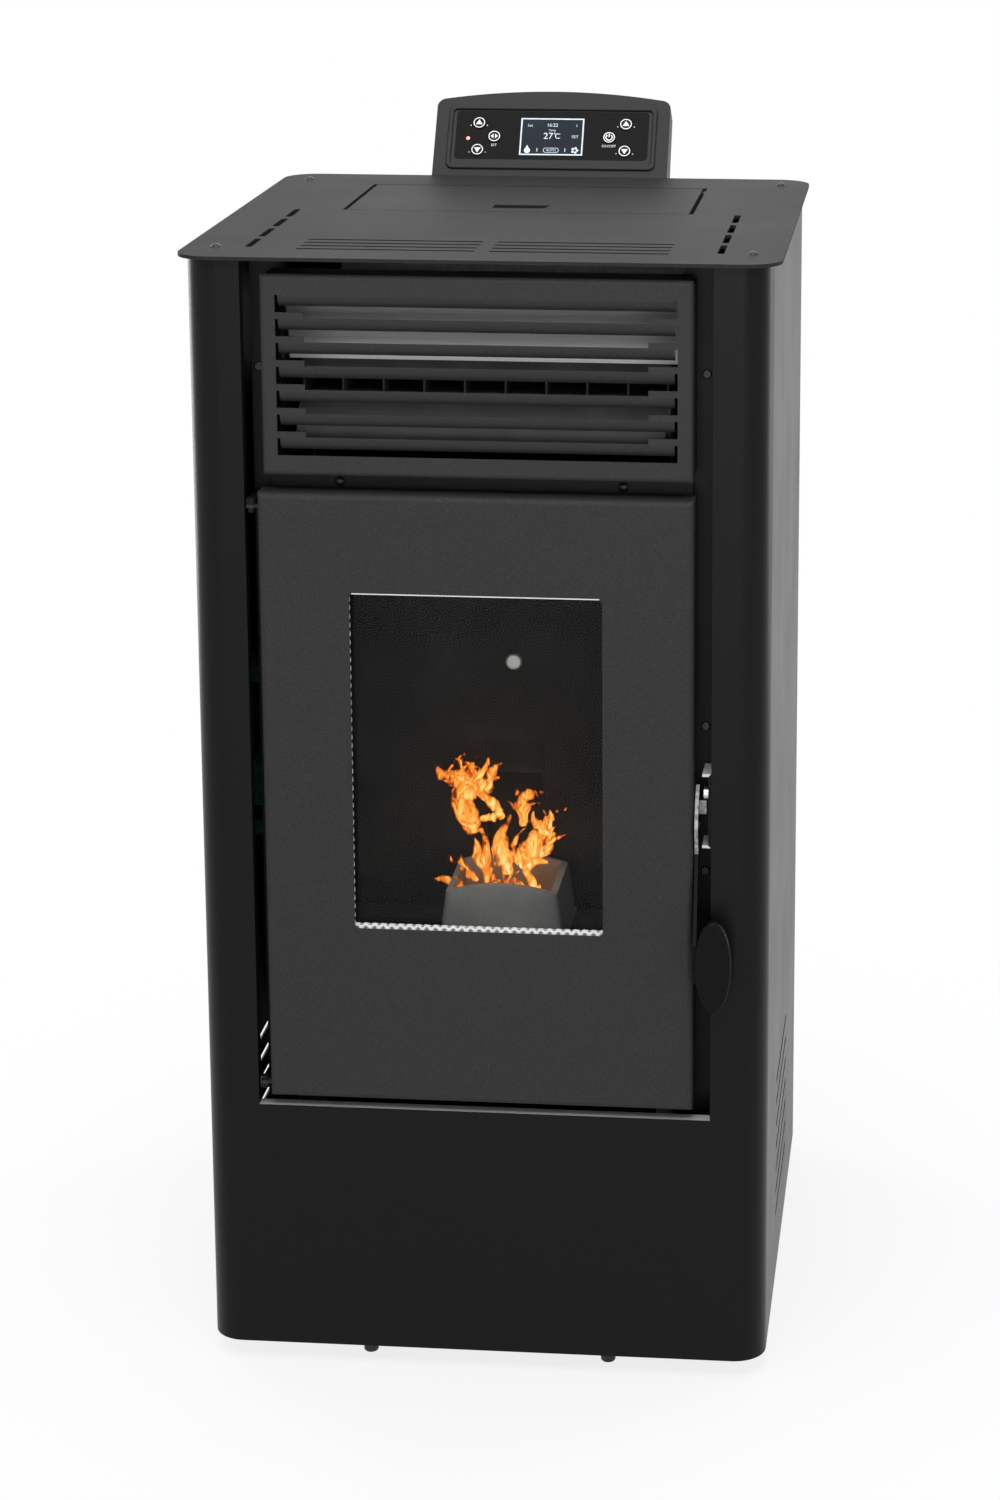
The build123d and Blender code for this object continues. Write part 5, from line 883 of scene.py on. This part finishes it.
def printed_strip(name, origin, outline, inner, material, body):
    """A printed shape between an outline and an inner outline, or filled where there is none."""
    points = [panel_point(origin, x, y) for x, y in outline]
    count = len(points)
    faces = [tuple(range(count))]
    if inner:
        points += [panel_point(origin, x, y) for x, y in inner]
        faces = [(part, (part + 1) % count, count + (part + 1) % count, count + part)
                 for part in range(count)]
    piece_from(name, points, faces, material, body, smooth=False)


def circle(radius, count=28, x=0.0, y=0.0, start=0.0, sweep=360.0):
    """Points round a circle or an arc, with angles in degrees."""
    return [(x + radius * math.cos(math.radians(start + sweep * part / count)),
             y + radius * math.sin(math.radians(start + sweep * part / count))) for part in range(count)]


def printed_text(name, words, origin, x, y, height, material):
    """Words as flat faces, centred on a point of the panel."""
    curve = bpy.data.curves.new(name, "FONT")
    curve.body = words
    curve.size = height / 1000
    curve.align_x = "CENTER"
    curve.align_y = "CENTER"
    maker = bpy.data.objects.new(name + "_curve", curve)
    mesh = bpy.data.meshes.new_from_object(maker)
    bpy.data.objects.remove(maker)
    place = panel_point(origin, x, y)
    basis = Matrix((panel_across, panel_up, panel_out)).transposed()
    mesh.transform(Matrix.Translation(place) @ basis.to_4x4())
    mesh.materials.clear()
    mesh.materials.append(material)
    place_piece(name, mesh, "stove")


def make_key_prints(ink):
    """A white ring and a generic sign on each key."""
    signs = {
        "key_left_up": ("left_up_key", "up"), "key_left_down": ("left_down_key", "down"),
        "key_right_up": ("right_up_key", "up"), "key_right_down": ("right_down_key", "down"),
        "key_set": ("set_key", "sideways"), "key_power": ("power_key", "power"),
    }
    for node, (body, sign) in signs.items():
        centre = on_face(node)

        def on_key(part, outline, inner=None):
            printed_strip(f"{node}_{part}", centre, outline, inner, ink, body)

        on_key("ring", circle(ring_outer), circle(ring_inner))
        if sign in ("up", "down"):
            turn = 1 if sign == "up" else -1
            on_key("arrow", [(-3.3, -2.0 * turn), (3.3, -2.0 * turn), (0.0, 3.4 * turn)])
        if sign == "sideways":
            for word, side in sides.items():
                on_key(f"arrow_{word}", [(side * 0.7, -2.6), (side * 3.6, 0.0), (side * 0.7, 2.6)])
        if sign == "power":
            outer = circle(power_outer, power_points, start=125.0, sweep=305.0)
            inner = circle(power_inner, power_points, start=125.0, sweep=305.0)
            points = [panel_point(centre, x, y) for x, y in outer + inner]
            faces = [(part, part + 1, power_points + part + 1, power_points + part)
                     for part in range(power_points - 1)]
            piece_from(node + "_arc", points, faces, ink, body, smooth=False)
            on_key("bar", [(-0.6, 0.3), (0.6, 0.3), (0.6, 4.2), (-0.6, 4.2)])


def make_label_prints(ink):
    """Generic words by two keys and the marks round the others."""
    for node, words in (("key_set", "SET"), ("key_power", "ON/OFF")):
        printed_text(node + "_word", words, on_face(node, "control_label"), 0.0, -9.2, 3.8, ink)
    for node in ("key_left_up", "key_left_down", "key_right_up", "key_right_down"):
        beside = on_face(node, "control_label")
        for word, side in sides.items():
            dot = circle(0.6, 10, side * 7.9, -2.6)
            printed_strip(f"{node}_dot_{word}", beside, dot, None, ink, "stove")


def make_screen_prints(ink):
    """What the display shows: a frame, a clock, a temperature and a few plain signs."""
    left, right = panel_span("lcd_screen", panel_across)
    bottom, top = panel_span("lcd_screen", panel_up)
    face = on_face("lcd_screen")
    half_width = (right - left) / 2 * 1000
    half_height = (top - bottom) / 2 * 1000

    def on_screen(name, outline, inner=None):
        printed_strip(name, face, outline, inner, ink, "stove")

    outer = [(-half_width, -half_height), (half_width, -half_height), (half_width, half_height),
             (-half_width, half_height)]
    on_screen("screen_frame", outer, [(x * 0.955, y * 0.93) for x, y in outer])
    words = (
        ("screen_temperature", "27", -3.5, 0.5, 9.5), ("screen_unit", "C", 5.6, 0.5, 8.0),
        ("screen_clock", "16:22", 0.0, 12.5, 5.0), ("screen_day", "Set", -21.5, 12.0, 4.0),
        ("screen_level", "1", 23.5, 12.0, 4.2), ("screen_set", "SET", 22.5, 0.0, 4.2),
        ("screen_mode", "AUTO", 0.0, -14.6, 3.4), ("screen_room", "Temp", 0.0, 6.9, 3.0),
    )
    for name, text, x, y, height in words:
        printed_text(name, text, face, x, y, height, ink)
    degree = (2.6, 3.4)
    on_screen("screen_degree", circle(0.9, 14, *degree), circle(0.5, 14, *degree))
    pill_outer, pill_inner = (
        circle(radius, 14, 5.0, -14.6, -90.0, 194.0) + circle(radius, 14, -5.0, -14.6, 90.0, 194.0)
        for radius in (2.6, 2.1))
    on_screen("screen_pill", pill_outer, pill_inner)
    on_screen("screen_flame", [(-23.0, -9.0)] + circle(3.0, 16, -23.0, -15.0, 60.0, -300.0))
    for blade in range(5):
        angle = math.radians(72.0 * blade)
        on_screen(f"screen_fan_{blade}",
                  circle(1.3, 10, 23.0 + 2.4 * math.cos(angle), -14.5 + 2.4 * math.sin(angle)))
    for number, x in enumerate((-13.5, 13.5)):
        on_screen(f"screen_bar_{number}",
                  [(x - 0.4, -16.0), (x + 0.4, -16.0), (x + 0.4, -12.5), (x - 0.4, -12.5)])


def make_status_light():
    """A small lit lens on the label, left of the keys."""
    lens = Paint("status_lens", (0.8, 0.25, 0.22), 0.3)
    lens.colored(lens.noise(300.0, 2.0), [(0.3, (0.8, 0.12, 0.1)), (0.7, (1.0, 0.6, 0.55))])
    lens.glowing_plain((1.0, 0.3, 0.28), 1.0)
    face = on_face("lcd_screen", "control_label")
    centre = (-80.8, -2.7)
    rings = ((1.9, 0.0), (1.6, 0.35), (1.0, 0.6), (0.3, 0.7))
    points = [panel_point(face, x, y, rise) for radius, rise in rings
              for x, y in circle(radius, lens_points, *centre)]
    faces = []
    for ring in range(len(rings) - 1):
        inner, outer = ring * lens_points, (ring + 1) * lens_points
        for part in range(lens_points):
            after = (part + 1) % lens_points
            faces.append((inner + part, inner + after, outer + after, outer + part))
    faces.append(tuple(range((len(rings) - 1) * lens_points, len(points))))
    piece_from("status_light", points, faces, lens.material, "stove")


def make_prints():
    # The ink on the keys and on the label glows as painted light.
    key_ink_painted_glow = printed_ink("key_ink_painted_glow", (0.75, 0.75, 0.76), 0.3).material
    make_key_prints(key_ink_painted_glow)
    make_label_prints(printed_ink("label_ink_painted_glow", (0.6, 0.6, 0.61), 0.2).material)
    make_screen_prints(printed_ink("screen_ink", (0.5, 0.55, 0.62), 0.6).material)
    make_status_light()


# ---------------------------------------------------------------- put together
bpy.context.scene.view_settings.view_transform = "Standard"
make_camera()
make_world()
make_lights()
make_floor()
paint_nodes()
make_ropes()
make_fire()
make_pellet_bed()
make_window_top_highlight()
make_prints()
